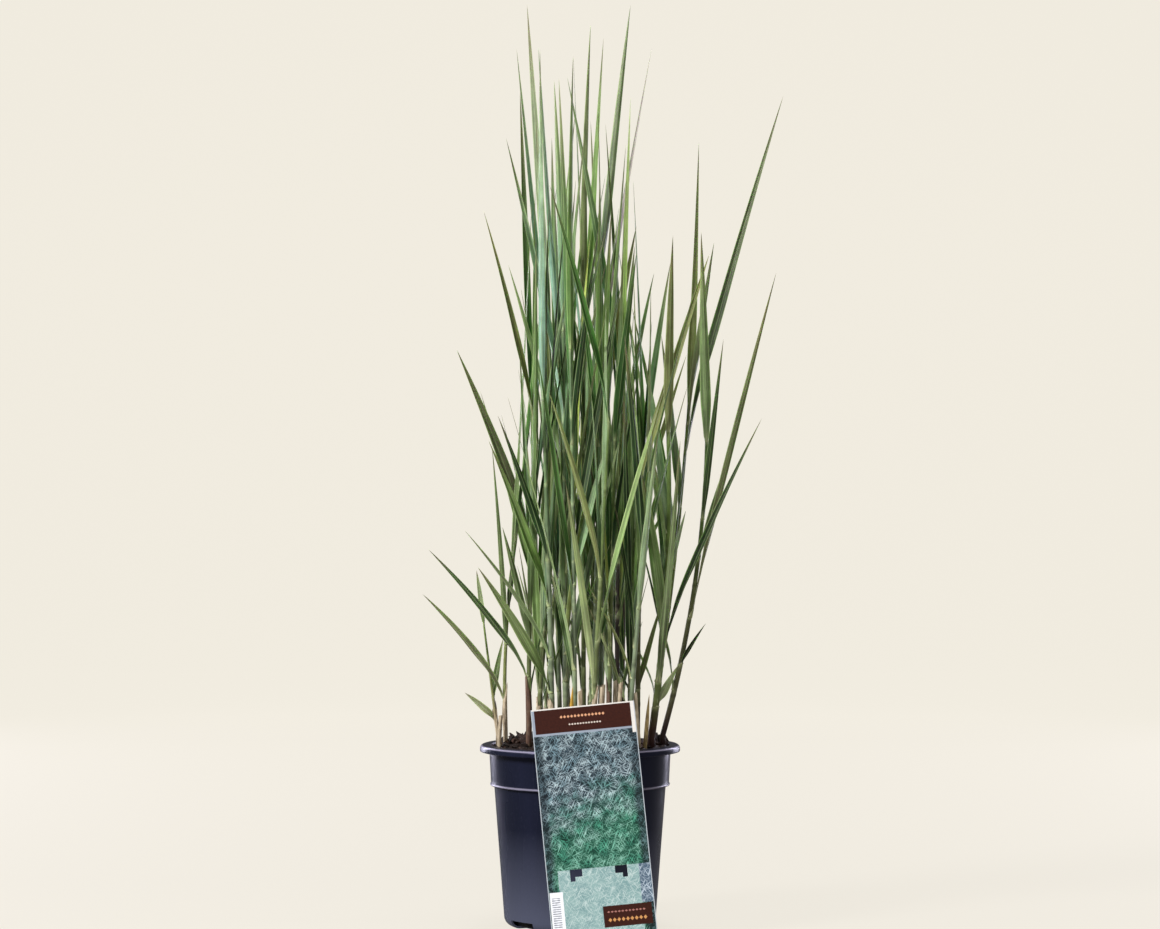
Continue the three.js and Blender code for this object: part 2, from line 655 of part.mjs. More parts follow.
/** Places every blade: stems first, then the traced blades, then the ones that grow by rule. */
function placeBlades() {
  const culms = CULMS.map((row, i) => {
    const random = seededRandom(SEED + 31 * i);
    return { row, path: culmPath(row), random, blades: [] };
  });
  const placed = [
    ...labelStrips(),
    ...culms.flatMap(({ row, path }, i) => stemPieces(path, row[5], i)),
    ...STUBS.flatMap(stubPieces),
    ...DEAD_LEAVES.flatMap((leaf) => piecesOf(deadLeafFrames(leaf), BLADE_THICKNESS / 2, 'dead')),
  ];
  const place = (culm, number, collar, tries) => {
    for (const blade of tries) {
      const frames = bladeFrames(blade);
      const pieces = piecesOf(frames, BLADE_THICKNESS / 2, number);
      if (isClear(pieces, placed)) {
        placed.push(...pieces);
        culm.blades.push({ collar, frames });
        return;
      }
    }
  };
  culms.forEach((culm, i) => culm.row[6].forEach((traced) => {
    place(culm, i, traced[0], tracedTries(culm, traced));
  }));
  culms.forEach((culm, i) => {
    const rank = culm.random() * 2 * Math.PI;
    freeCollars(culm.row, culm.random).forEach((collar, k) => {
      place(culm, i, collar, grownTries(culm, collar, rank + k * Math.PI));
    });
  });
  return culms;
}

// ---------------------------------------------------------------- stubs and dead leaves

/** Foot and top of a stub. */
function stubAxis([x, y, height, lean]) {
  return [new THREE.Vector3(x, y, CROWN_LEVEL), new THREE.Vector3(x + lean, y, height)];
}

/** A stub as a solid, cut off at a slant. */
function stubSolid(stub) {
  const [foot, top] = stubAxis(stub);
  const ring = (centre, slant) => Array.from({ length: STEM_SIDES }, (_, k) => {
    const angle = (k * 2 * Math.PI) / STEM_SIDES;
    const [dx, dy] = [stub[4] * Math.cos(angle), stub[4] * Math.sin(angle)];
    return new THREE.Vector3(centre.x + dx, centre.y + dy, centre.z + dx * slant);
  });
  return loftRings([ring(foot.clone().setZ(HOLE_FLOOR), 0), ring(foot, 0), ring(top, STUB_CUT)]);
}

/** Frames of a dead leaf, from the floor of its hole to its tip. */
function deadLeafFrames({ foot, tip, width }) {
  const root = new THREE.Vector3(foot[0], foot[1], HOLE_FLOOR);
  const up = new THREE.Vector3(0, 0, 1);
  return bladeFrames({ root, stemDirection: up, tip: new THREE.Vector3(...tip), width, facing: 0.3 });
}

// ---------------------------------------------------------------- assembly

const number = (i) => String(i + 1).padStart(2, '0');

const plant = new THREE.Group();
const culms = placeBlades();

culms.forEach(({ row, path, blades }, i) => {
  const collars = blades.map(({ collar }) => collar);
  const stem = stemSolid(path, row[5], collars);
  const solid = blades.reduce((joined, { frames }) => joined.add(bladeSolid(frames)), stem);
  plant.add(meshFrom(`culm_${number(i)}`, solid, { color: 0x4f6b3a, roughness: 0.55 }));
});

STUBS.forEach((stub, i) => {
  plant.add(meshFrom(`stub_${number(i)}`, stubSolid(stub), { color: 0xb8a680, roughness: 0.8 }));
});

DEAD_LEAVES.forEach((leaf, i) => {
  const solid = bladeSolid(deadLeafFrames(leaf));
  plant.add(meshFrom(`dead_leaf_${number(i)}`, solid, { color: leaf.color, roughness: 0.8 }));
});

const holes = [
  ...culms.map(({ row }) => stemHole(row, row[5])),
  ...STUBS.map((stub) => stemHole(stub, stub[4])),
  ...DEAD_LEAVES.map(({ foot, width }) => stemHole(foot, width / 2 + GAP)),
];
const drilled = holes.reduce((solid, hole) => solid.subtract(hole), soil());
plant.add(meshFrom('soil', drilled, { color: 0x241c19, roughness: 0.95 }));
plant.add(meshFrom('pot', pot(), { color: 0x23252f, roughness: 0.4 }));

const label = meshFrom('label', labelCard(), { color: 0x7fa6a0, roughness: 0.35 });
label.applyMatrix4(labelPlacement());
plant.add(label);

export default plant;
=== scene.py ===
# %% [markdown]
# # Switchgrass in a nursery pot
# Switchgrass grows as a clump of upright stems. Each stem is wrapped in leaf sheaths, and each
# sheath opens at its collar into one long blade that ends in a fine point. The clump stands in
# dark potting soil, in a thin black pot, with a printed card leaning on the rim.
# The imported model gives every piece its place. Here each piece gets its real surface.

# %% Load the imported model
import math

import bmesh
import bpy
import numpy as np
from mathutils import Matrix, Vector


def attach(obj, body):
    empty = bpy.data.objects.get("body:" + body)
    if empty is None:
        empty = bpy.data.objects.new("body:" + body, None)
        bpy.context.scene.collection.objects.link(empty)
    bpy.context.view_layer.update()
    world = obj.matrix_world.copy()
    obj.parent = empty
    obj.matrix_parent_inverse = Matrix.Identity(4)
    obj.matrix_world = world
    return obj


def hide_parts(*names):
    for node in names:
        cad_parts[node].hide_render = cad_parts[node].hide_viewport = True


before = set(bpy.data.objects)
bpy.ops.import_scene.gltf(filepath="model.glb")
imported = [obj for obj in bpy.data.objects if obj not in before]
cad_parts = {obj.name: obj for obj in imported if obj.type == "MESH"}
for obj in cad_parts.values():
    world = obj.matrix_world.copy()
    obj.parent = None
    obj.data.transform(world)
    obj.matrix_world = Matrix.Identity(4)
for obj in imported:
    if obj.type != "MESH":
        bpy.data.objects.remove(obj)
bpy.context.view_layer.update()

MM = 0.001

# %% [markdown]
# The camera stands level, far back, with a long lens, so the stems stay parallel and the pot's
# rim shows as a thin ellipse. Its lens length follows from the width that it has to take in.

# %% Camera
DISTANCE = 2.9
EYE_HEIGHT = 0.391
VIEW_WIDTH = 1160 * 0.85 * MM       # at the pot's axis
SENSOR_WIDTH = 36.0

camera = bpy.data.objects.new("camera", bpy.data.cameras.new("camera"))
camera.data.sensor_width = SENSOR_WIDTH
camera.data.lens = SENSOR_WIDTH * DISTANCE / VIEW_WIDTH
camera.location = (0, -DISTANCE, EYE_HEIGHT)
camera.rotation_euler = (math.pi / 2, 0, 0)
bpy.context.scene.collection.objects.link(camera)
bpy.context.scene.camera = camera
print("lens of", round(camera.data.lens, 1), "mm")

# %% [markdown]
# Each stem grows from its own foot to its own top, and carries its blades on two opposite
# sides. The tables give the feet, the tops and the blades that show from the front. The rest
# of the blades grow by a rule, and each one takes the first of its possible ways that stays
# clear of everything before it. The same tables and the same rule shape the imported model, so
# the fine surfaces follow the same lines.

# %% Measures of the plant in millimetres
CROWN_LEVEL = 161
HOLE_FLOOR = 135
STEM_TAPER = 0.5
BLADE_THICKNESS = 1.3
BLADE_LAUNCH = 0.35
BLADE_CLING = 0.35
BLADE_STATIONS = np.array([0, 0.09, 0.28, 0.52, 0.76, 1])
WIDEST = 0.28           # share of a blade's length at its widest place
NARROWING = 2.2         # the power by which it narrows from there
ROOT_OFFSET = 0.5
CLEARANCE = 0.7
TOP_ROOM = 35
COLLAR_STEP = 48
FIRST_COLLAR = 193
DEPTH_LEAN = 1.28
SWAY = 7
OUTER_SLANT = 1.2
VIEW_DISTANCE = 2900
VIEW_HEIGHT = 391
SEED = 20417
BAND_RADIUS = 77
DEPTH = 1.2

LABEL_WIDTH = 86
LABEL_HEIGHT = 193.2
LABEL_THICKNESS = 0.8
LABEL_LEAN = 13
LABEL_TURN = 5.6
LABEL_CORNER = np.array([-22.1, -120.9, 0.05])

# Each culm: foot x, foot y, top x, top height, bow, foot radius, and the blades that show:
# collar height, tip x, tip height and width.
CULMS = [
    [-70, 6, -82, 257, 0.5, 1.5, [[172, -98, 197, 6], [193, -65, 244, 6], [256, -88, 301, 4.5]]],
    [-63, -12, -54, 327, 0.05, 1.8, [[193, -134, 281, 6.5], [238, -75, 409, 5], [270, -55, 329, 4.5]]],
    [-43, -34, -36, 412, 0.2, 2.2, [[212, -129, 319, 6], [242, -66, 338, 6], [408, -82, 607, 6.5]]],
    [-33, 18, -41, 420, 0.45, 2.0, [[267, -85, 454, 5], [306, -105, 489, 10], [418, -51, 708, 7]]],
    [-23, -48, -31, 446, 0.4, 2.5,
     [[199, -87, 304, 10.5], [229, -98, 335, 6], [272, -78, 412, 9], [310, -70, 433, 7],
      [444, -34, 744, 6.5]]],
    [-17, 36, -26, 488, 0.45, 2.0, [[344, -38, 697, 7.5], [412, -54, 745, 6.5], [486, -45, 782, 7]]],
    [-12, -20, -14, 505, 0.5, 2.4,
     [[378, -61, 561, 5], [402, -9, 469, 5], [425, -63, 669, 8], [503, -22, 718, 6.5]]],
    [-4, -52, -8, 488, 0.4, 2.1,
     [[290, 24, 412, 7], [407, 17, 599, 6], [429, -18, 720, 6.5], [486, -6, 737, 7]]],
    [3, 8, 3, 531, 0.5, 2.2,
     [[218, -23, 275, 4], [233, 15, 249, 4], [357, 6, 497, 8.5], [463, 20, 754, 7],
      [529, 9, 765, 7.5]]],
    [9, 44, 14, 505, 0.5, 2.0, [[446, 61, 745, 4.5], [503, 43, 782, 7.5]]],
    [7, -30, 16, 429, 0.8, 2.1, [[233, 30, 285, 5], [310, 39, 663, 6.5], [427, 17, 643, 6.5]]],
    [17, 22, 22, 446, 0.5, 2.0,
     [[193, 15, 279, 6], [243, -5, 269, 4.5], [259, 0, 291, 4], [337, 24, 452, 7], [361, 9, 684, 6],
      [444, 48, 594, 6.5]]],
    [24, -40, 29, 412, 0.5, 2.2, [[201, 20, 251, 4.5], [410, 48, 571, 9]]],
    [31, -8, 33, 463, 0.5, 2.2,
     [[197, 14, 287, 6.5], [307, 40, 432, 7.5], [395, 43, 704, 7.5], [461, -11, 721, 8]]],
    [36, 30, 40, 429, 0.5, 2.0, [[427, 63, 554, 5]]],
    [43, -26, 51, 378, 0.1, 2.6, [[327, 100, 550, 6], [376, 110, 570, 7.5]]],
    [49, 14, 55, 412, 0.3, 2.4, [[199, 70, 275, 5], [307, 76, 359, 4], [410, 77, 563, 6]]],
    [60, -32, 74, 420, 0.9, 3.2,
     [[187, 84, 221, 8], [238, 155, 431, 7], [250, 52, 386, 10], [293, 90, 352, 4.5],
      [418, 79, 586, 9]]],
    [70, -8, 107, 412, 0.72, 2.5,
     [[222, 107, 256, 4], [261, 167, 555, 6.5], [310, 132, 412, 5], [344, 122, 498, 6],
      [410, 103, 589, 9]]],
    [61, 34, 94, 446, 0.6, 2.3, [[403, 173, 705, 8], [425, 114, 580, 6.5], [444, 101, 665, 7]]],
    [-30, 48, -12, 437, 0.5, 2.0, []],
    [-8, 61, -34, 477, 0.5, 2.0, []],
    [16, 62, 38, 477, 0.5, 2.0, []],
    [38, 52, 20, 447, 0.5, 2.0, []],
    [-36, -10, -22, 397, 0.5, 2.1, []],
    [10, -62, 24, 427, 0.5, 2.2, [[425, -26, 629, 6.5]]],
    [40, -54, 58, 387, 0.5, 2.2, []],
    [-12, 12, -20, 507, 0.5, 2.1, [[431, -24, 669, 7]]],
]

# Cut stubs of last year's culms: foot x, foot y, height of the cut, lean to the right, and radius.
STUBS = [
    [-68, -19, 180, 1, 1.8], [2, -64, 204, -2, 2.0], [17, -54, 207, 2, 2.3], [31, -60, 210, 3, 1.9],
    [19, -28, 206, -1, 2.2], [29, -23, 210, 1, 2.0], [49, -44, 200, -3, 1.8],
]

# Dead leaves at the base: foot, tip and width.
DEAD_LEAVES = [([-9, -64], [-6, -66, 207], 6.5), ([54, -38], [58, -46, 199], 5)]

SPREAD = np.array([
    [157, -70, 75], [267, -95, 95], [407, -80, 115], [487, -66, 98],
    [547, -58, 50], [707, -44, 44], [797, -40, 40],
], float)
print(len(CULMS), "culms,", sum(len(row[6]) for row in CULMS), "blades from the table")

# %% [markdown]
# A seeded draw gives the same plant every time. The curves are Bezier curves of three points,
# because a stem or a blade of grass has a single, even bend.

# %% Draws and curves
WORD = 0xFFFFFFFF


def seeded_random(seed):
    """Numbers from 0 to 1 that are the same every time for the same seed."""
    state = seed & WORD

    def draw():
        nonlocal state
        state = (state + 0x6D2B79F5) & WORD
        t = ((state ^ (state >> 15)) * (state | 1)) & WORD
        t ^= (t + ((t ^ (t >> 7)) * (t | 61))) & WORD
        return ((t ^ (t >> 14)) & WORD) / 4294967296

    return draw


def lerp(a, b, t):
    """The value a share t of the way from a to b."""
    return (1 - t) * a + t * b


def smoothstep(x, low, high):
    """Rises from 0 at low to 1 at high, level at both ends: three squares less two cubes."""
    x = np.clip((x - low) / (high - low), 0, 1)
    return x * x * (3 - 2 * x)


def unit(v):
    """Each vector over its own length."""
    return v / np.linalg.norm(v, axis=-1, keepdims=True)


def bezier(curve, t):
    """Points of the curve of a start, a control point and an end, weighted by the squares of t."""
    t = np.asarray(t, float)[..., None]
    return (1 - t) ** 2 * curve[0] + 2 * (1 - t) * t * curve[1] + t ** 2 * curve[2]


def tangent_of(curve, t):
    """The curve's direction at t, from two points close to it."""
    t = np.asarray(t, float)
    return unit(bezier(curve, np.minimum(t + 1e-4, 1)) - bezier(curve, np.maximum(t - 1e-4, 0)))


def culm_curve(row):
    """Foot, control point and top of a culm. The bow moves the control point sideways."""
    foot = np.array([row[0], row[1], CROWN_LEVEL], float)
    top_y = row[1] * DEPTH_LEAN + SWAY * math.sin(row[0] + 2 * row[1])
    top = np.array([row[2], top_y, row[3]], float)
    pull = 2 * row[4] - 0.5
    control = np.array([lerp(foot[0], top[0], pull), lerp(foot[1], top[1], pull), (foot[2] + top[2]) / 2])
    return foot, control, top


def along_culm(row, z):
    """How far up a culm a height lies, from 0 to 1."""
    return min(max((z - CROWN_LEVEL) / (row[3] - CROWN_LEVEL), 0), 1)


def blade_curve(root, stem_direction, tip):
    """Root, control point and tip of a blade, which starts between the stem's direction and the tip's."""
    chord = tip - root
    length = np.linalg.norm(chord)
    start = unit(stem_direction * BLADE_CLING + chord * (1 - BLADE_CLING) / length)
    return root, root + start * BLADE_LAUNCH * length, tip


def narrowed(t, power):
    """Half width over the full one, from the widest place to the tip."""
    share = np.clip((t - WIDEST) / (1 - WIDEST), 0, 1)
    return (1 - share ** power) ** 0.9


def blade_outline(t):
    """Half width over the full one: it widens to a quarter of the length, then narrows to the tip."""
    return np.where(t < WIDEST, lerp(0.5, 1, smoothstep(t, 0, WIDEST)), narrowed(t, NARROWING))


def blade_frames(blade, t):
    """Centres, directions, sideways unit vectors and half widths of a blade at each t."""
    curve = blade_curve(blade["root"], blade["stem"], blade["tip"])
    reach = blade["tip"] - blade["root"]
    root_facing = math.atan2(reach[1], reach[0]) + math.pi / 2
    turn = math.atan(math.tan(blade["facing"] - root_facing))
    angle = root_facing + turn * smoothstep(t, 0, 0.55)
    tangent = tangent_of(curve, t)
    side = np.stack([np.cos(angle), np.sin(angle), np.zeros_like(angle)], -1)
    side = unit(side - (side * tangent).sum(-1, keepdims=True) * tangent)
    return bezier(curve, t), tangent, side, blade["width"] / 2 * blade_outline(t)


print("first draws:", [round(seeded_random(SEED)(), 4)])

# %% [markdown]
# Two blades must not cross. Each one is taken as five straight pieces, and the nearest points
# of two pieces are worked out for a whole table of pieces at once. A flat blade reaches far
# along its width and hardly at all along its face, so the distance is measured against the
# reach in the direction of the other piece.

# %% Keeping the blades clear of each other
START, END, SIDE_A, SIDE_B = slice(0, 3), slice(3, 6), slice(6, 9), slice(9, 12)
HALF_A, HALF_B, THICK, SIZE, LOW, HIGH, CULM, STEM, ROOT = range(12, 21)
CARD, STUB, DEAD = -1, -2, -3


def pieces_of(centre, side, half, thickness, culm, is_stem=False):
    """One row for each straight piece between two stations."""
    count = len(centre) - 1
    thick = np.full(count, float(thickness))
    columns = [
        thick, np.maximum(half[:-1], half[1:]) + thick,
        np.minimum(centre[:-1, 2], centre[1:, 2]), np.maximum(centre[:-1, 2], centre[1:, 2]),
        np.full(count, float(culm)), np.full(count, float(is_stem)), (np.arange(count) < 2).astype(float),
    ]
    return np.column_stack([centre[:-1], centre[1:], side[:-1], side[1:], half[:-1], half[1:], *columns])


def dot(a, b):
    """The scalar product of each pair of vectors."""
    return (a * b).sum(-1)


def too_close(a, b, clearance):
    """Whether each piece of a comes closer to each piece of b than the clearance."""
    a, b = a[:, None], b[None]
    along, beside = a[..., END] - a[..., START], b[..., END] - b[..., START]
    between = a[..., START] - b[..., START]
    aa, bb, ab = dot(along, along), dot(beside, beside), dot(along, beside)
    ac, bc = dot(along, between), dot(beside, between)
    spread = aa * bb - ab * ab
    s = np.where(spread > 1e-9, np.clip((ab * bc - ac * bb) / np.where(spread > 1e-9, spread, 1), 0, 1), 0)
    t = (ab * s + bc) / bb
    s = np.where(t < 0, np.clip(-ac / aa, 0, 1), np.where(t > 1, np.clip((ab - ac) / aa, 0, 1), s))
    t = np.clip(t, 0, 1)
    gap = between + along * s[..., None] - beside * t[..., None]
    distance = np.linalg.norm(gap, axis=-1)
    direction = gap / np.maximum(distance, 1e-6)[..., None]

    def reach(piece, share):
        side = lerp(piece[..., SIDE_A], piece[..., SIDE_B], share[..., None])
        half = lerp(piece[..., HALF_A], piece[..., HALF_B], share)
        return abs(dot(side, direction)) * half + piece[..., THICK]

    widest = a[..., SIZE] + b[..., SIZE] + clearance
    level = (a[..., LOW] <= b[..., HIGH] + widest) & (b[..., LOW] <= a[..., HIGH] + widest)
    return level & (distance <= widest) & (distance < reach(a, s) + reach(b, t) + clearance)


def is_clear(pieces, placed, clearance):
    """Whether a blade is clear of all but its own stem and the roots of its own culm's blades."""
    same = pieces[:, None, CULM] == placed[None, :, CULM]
    joined = (placed[None, :, STEM] > 0) | (placed[None, :, ROOT] > 0) | (pieces[:, None, ROOT] > 0)
    return not (too_close(pieces, placed, clearance) & ~(same & joined)).any()


def turned_about(axis, degrees):
    """The matrix of a turn about an axis."""
    return np.array(Matrix.Rotation(math.radians(degrees), 3, axis))


LABEL_MATRIX = turned_about("X", 90 - LABEL_LEAN) @ turned_about("Z", LABEL_TURN)


def label_point(u, v, w=0.0):
    """A point of the card: u across, v up and w out of its front, from its lower left corner."""
    u, v, w = np.broadcast_arrays(u, v, w)
    return np.stack([u, v, w], -1) @ LABEL_MATRIX.T + LABEL_CORNER


X_AXIS = np.array([1.0, 0, 0])
LABEL_STRIPS = 8
ABOVE_RIM = 0.7         # share of the card's height at which the plant begins behind it


def label_strips():
    """Strips of the card above the rim."""
    strip = LABEL_WIDTH / LABEL_STRIPS
    side, half = np.array([X_AXIS] * 2), np.full(2, strip / 2)
    rows = []
    for i in range(LABEL_STRIPS):
        centre = label_point((i + 0.5) * strip, np.array([ABOVE_RIM, 1]) * LABEL_HEIGHT)
        rows.append(pieces_of(centre, side, half, LABEL_THICKNESS + 1, CARD))
    return rows


def stem_pieces(row, culm):
    """A culm's own pieces, and the room above it for its last blade."""
    curve = culm_curve(row)
    centre = bezier(curve, np.linspace(0, 1, 7))
    centre = np.vstack([centre, centre[-1] + tangent_of(curve, 1.0) * TOP_ROOM])
    return pieces_of(centre, np.array([X_AXIS] * 8), np.zeros(8), row[5] * 1.08, culm, True)


def stub_axis(stub):
    """Foot and top of a stub."""
    x, y, height, lean, _ = stub
    return np.array([[x, y, CROWN_LEVEL], [x + lean, y, height]], float)


def dead_leaf(foot, tip, width):
    """A dead leaf as a blade that stands on the floor of its hole."""
    return {
        "root": np.array([*foot, HOLE_FLOOR], float), "stem": np.array([0, 0, 1.0]),
        "tip": np.array(tip, float), "width": width, "facing": 0.3,
    }


print("a culm gives", len(stem_pieces(CULMS[0], 0)), "pieces")

# %% [markdown]
# A blade has a list of ways to lie, which are tried in turn. The ones that show from the front
# have a known tip, whose depth alone is open. The others grow by the plant's own habit: two
# ranks on opposite sides of the stem, each blade a little more upright than the one below.

# %% Growing the blades


def root_at(row, collar, outward):
    """Where on a culm a blade grows, a little off the axis on the side that it leaves to."""
    t = along_culm(row, collar)
    curve = culm_curve(row)
    offset = row[5] * lerp(1, STEM_TAPER, t) * ROOT_OFFSET
    return bezier(curve, t) + outward * offset, tangent_of(curve, t)


def zigzag(k):
    """0, 1, -1, 2, -2 and so on, starting to the far side."""
    return math.ceil(k / 2) * (1 if k % 2 == 0 else -1)


def tip_at(x, depth, z):
    """A tip of the table at its true place: further back it lies further out, to look the same."""
    scale = 1 + depth / VIEW_DISTANCE
    return np.array([x * scale, depth, VIEW_HEIGHT + (z - VIEW_HEIGHT) * scale], float)


def traced_tries(row, traced, draw):
    """The ways that a blade with a known tip may lie: its depth and its facing are tried in turn."""
    collar, tip_x, tip_z, width = traced
    x, y, _ = bezier(culm_curve(row), along_culm(row, collar))
    away = 1 if y >= 0 else -1
    start = away * 14 + (draw() - 0.5) * 30
    facing = math.radians((draw() - 0.5) * 70)
    for k in range(26):
        tip = tip_at(tip_x, y + start + zigzag(k) * 7 * away, tip_z)
        outward = unit(np.array([tip[0] - x, tip[1] - y, 0]))
        root, stem = root_at(row, collar, outward)
        yield {"root": root, "stem": stem, "tip": tip, "width": width, "facing": facing + (k % 3) * 0.4}


def grown_tries(row, collar, compass, draw):
    """The ways that a blade of the rule may lie: direction, slant and length are tried in turn."""
    t = along_culm(row, collar)
    length = lerp(170, 320, math.sqrt(t)) + (draw() - 0.5) * 90
    slant = math.radians(lerp(20, 8, t) + (draw() - 0.5) * 8)
    width = lerp(8.4, 7.2, t) + (draw() - 0.5) * 2
    facing = (draw() - 0.5) * math.pi
    for k in range(24):
        angle = compass + zigzag(k) * 0.5
        outward = np.array([math.cos(angle), math.sin(angle), 0])
        outermost = max(0, (outward[0] * row[0] + outward[1] * row[1]) / BAND_RADIUS)
        lean = slant * (1 - 0.25 * (k % 3)) * (1 + OUTER_SLANT * outermost)
        size = length * (1 - 0.02 * k)
        root, stem = root_at(row, collar, outward)
        tip = root + stem * math.cos(lean) * size + outward * math.sin(lean) * size
        if is_inside(tip):
            yield {"root": root, "stem": stem, "tip": tip, "width": width, "facing": facing + k * 0.3}


def is_inside(tip):
    """Whether a tip lies within the plant's outline."""
    left, right = (np.interp(tip[2], SPREAD[:, 0], SPREAD[:, k]) for k in (1, 2))
    deep = DEPTH * (right - left) / 2
    return tip[2] < SPREAD[-1, 0] - 40 and left < tip[0] < right and abs(tip[1]) < deep


def free_collars(row, draw):
    """Collar heights of a culm that carry no traced blade."""
    taken = [traced[0] for traced in row[6]]
    collars = []
    z = FIRST_COLLAR + draw() * 40
    while z < row[3] - 25:
        if all(abs(collar - z) > 20 for collar in taken):
            collars.append(z)
        z += COLLAR_STEP * (0.85 + 0.3 * draw())
    if all(row[3] - collar > 20 for collar in taken):
        collars.append(row[3] - 2)
    return collars


def first_clear(tries, placed, thickness, culm, clearance):
    """The first of a blade's ways that is clear of all that is placed, with its pieces."""
    for blade in tries:
        centre, _, side, half = blade_frames(blade, BLADE_STATIONS)
        pieces = pieces_of(centre, side, half, thickness / 2, culm)
        if is_clear(pieces, placed, clearance):
            return blade, pieces
    return None, None


def grow():
    """Places every blade: stems first, then the traced blades, then the ones that grow by rule."""
    placed = label_strips()
    placed += [stem_pieces(row, i) for i, row in enumerate(CULMS)]
    for stub in STUBS:
        placed.append(pieces_of(stub_axis(stub), np.array([X_AXIS] * 2), np.zeros(2), stub[4], STUB))
    for leaf in DEAD_LEAVES:
        centre, _, side, half = blade_frames(dead_leaf(*leaf), BLADE_STATIONS)
        placed.append(pieces_of(centre, side, half, BLADE_THICKNESS / 2, DEAD))
    placed = np.vstack(placed)
    draws = [seeded_random(SEED + 31 * i) for i in range(len(CULMS))]
    blades = [[] for _ in CULMS]

    def place(i, collar, tries, traced):
        nonlocal placed
        blade, pieces = first_clear(tries, placed, BLADE_THICKNESS, i, CLEARANCE)
        if blade:
            placed = np.vstack([placed, pieces])
            blades[i].append({**blade, "collar": collar, "traced": traced})

    for i, row in enumerate(CULMS):
        for k, traced in enumerate(row[6]):
            place(i, traced[0], traced_tries(row, traced, draws[i]), k)
    for i, row in enumerate(CULMS):
        rank = draws[i]() * 2 * math.pi
        for k, collar in enumerate(free_collars(row, draws[i])):
            place(i, collar, grown_tries(row, collar, rank + k * math.pi, draws[i]), None)
    return blades, placed


BLADES, PLACED = grow()
print(sum(map(len, BLADES)), "blades placed")

# %% [markdown]
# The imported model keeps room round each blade, because its blades are thick. Real ones are a
# third of a millimetre thick, so more of them fit between. They start at collars of their own,
# stay inside the plant, and keep clear of everything as the first ones do. Among the feet of
# the stems grow short, narrow ones that slant across each other.

# %% Fine growth between the first blades
FINE_THICKNESS = 0.4
FINE_CLEARANCE = 0.3
FINE_FIRST = 2                      # the two leftmost culms stay bare
FINE_TRIES = 30
FINE_TURN = 2.4                     # angle from one try to the next
COLLAR_GAP = 9
INNER_REACH = 68                    # how far from the pot's axis a fine tip may lie
# Lengths and widths in mm, slants in degrees, heights of the collars from the first to the last
# and the step between them, the height that the tips stay below, and the seed.
LONG = {
    "lengths": (150, 250), "widths": (5.5, 9), "slants": (4, 15), "first": 222, "last": 647,
    "step": 48, "tips_below": 647, "seed": SEED,
}
SHORT = {
    "lengths": (75, 150), "widths": (3.4, 6), "slants": (14, 34), "first": 176, "last": 330,
    "step": 38, "tips_below": 797, "seed": SEED + 5,
}


def fine_tries(row, collar, kind, draw):
    """Ways for a blade between the first ones: any direction, with a slant and a length of its kind."""
    length, width = lerp(*kind["lengths"], draw()), lerp(*kind["widths"], draw())
    compass, facing = draw() * 2 * math.pi, (draw() - 0.5) * math.pi
    for k in range(FINE_TRIES):
        angle = compass + k * FINE_TURN
        outward = np.array([math.cos(angle), math.sin(angle), 0])
        lean = math.radians(lerp(*kind["slants"], (k % 5) / 4))
        size = length * (1 - 0.012 * k)
        root, stem = root_at(row, collar, outward)
        tip = root + stem * math.cos(lean) * size + outward * math.sin(lean) * size
        if is_inside(tip) and tip[2] < kind["tips_below"] and np.hypot(*tip[:2]) < INNER_REACH:
            yield {"root": root, "stem": stem, "tip": tip, "width": width, "facing": facing + k * 0.5}


def grow_more(placed, earlier, kind):
    """Fills the plant with blades of one kind that the ones before leave room for."""
    more = [[] for _ in CULMS]
    for i, row in enumerate(CULMS):
        draw = seeded_random(kind["seed"] + 977 * (i + 1))
        taken = [blade["collar"] for group in earlier for blade in group[i]]
        z = kind["first"] + draw() * 30
        while z < min(row[3] - 8, kind["last"]) and i >= FINE_FIRST:
            if all(abs(collar - z) > COLLAR_GAP for collar in taken):
                tries = fine_tries(row, z, kind, draw)
                blade, pieces = first_clear(tries, placed, FINE_THICKNESS, i, FINE_CLEARANCE)
                if blade:
                    placed = np.vstack([placed, pieces])
                    more[i].append({**blade, "collar": z, "traced": None})
            z += kind["step"] * (0.8 + 0.4 * draw())
    return more, placed


LONG_BLADES, PLACED = grow_more(PLACED, [BLADES], LONG)
SHORT_BLADES, PLACED = grow_more(PLACED, [BLADES, LONG_BLADES], SHORT)
print(sum(map(len, LONG_BLADES)), "fine blades and", sum(map(len, SHORT_BLADES)), "short ones placed")

# %% [markdown]
# Every surface here is a skin over rings of points: rows along the piece, columns round it.
# The faces, the seam and the ends are worked out once for all pieces, from the numbers of rows
# and columns. A corner of a face keeps its own place in the pattern, so that a pattern closes
# round a tube with no smeared column.

# %% Skins and meshes


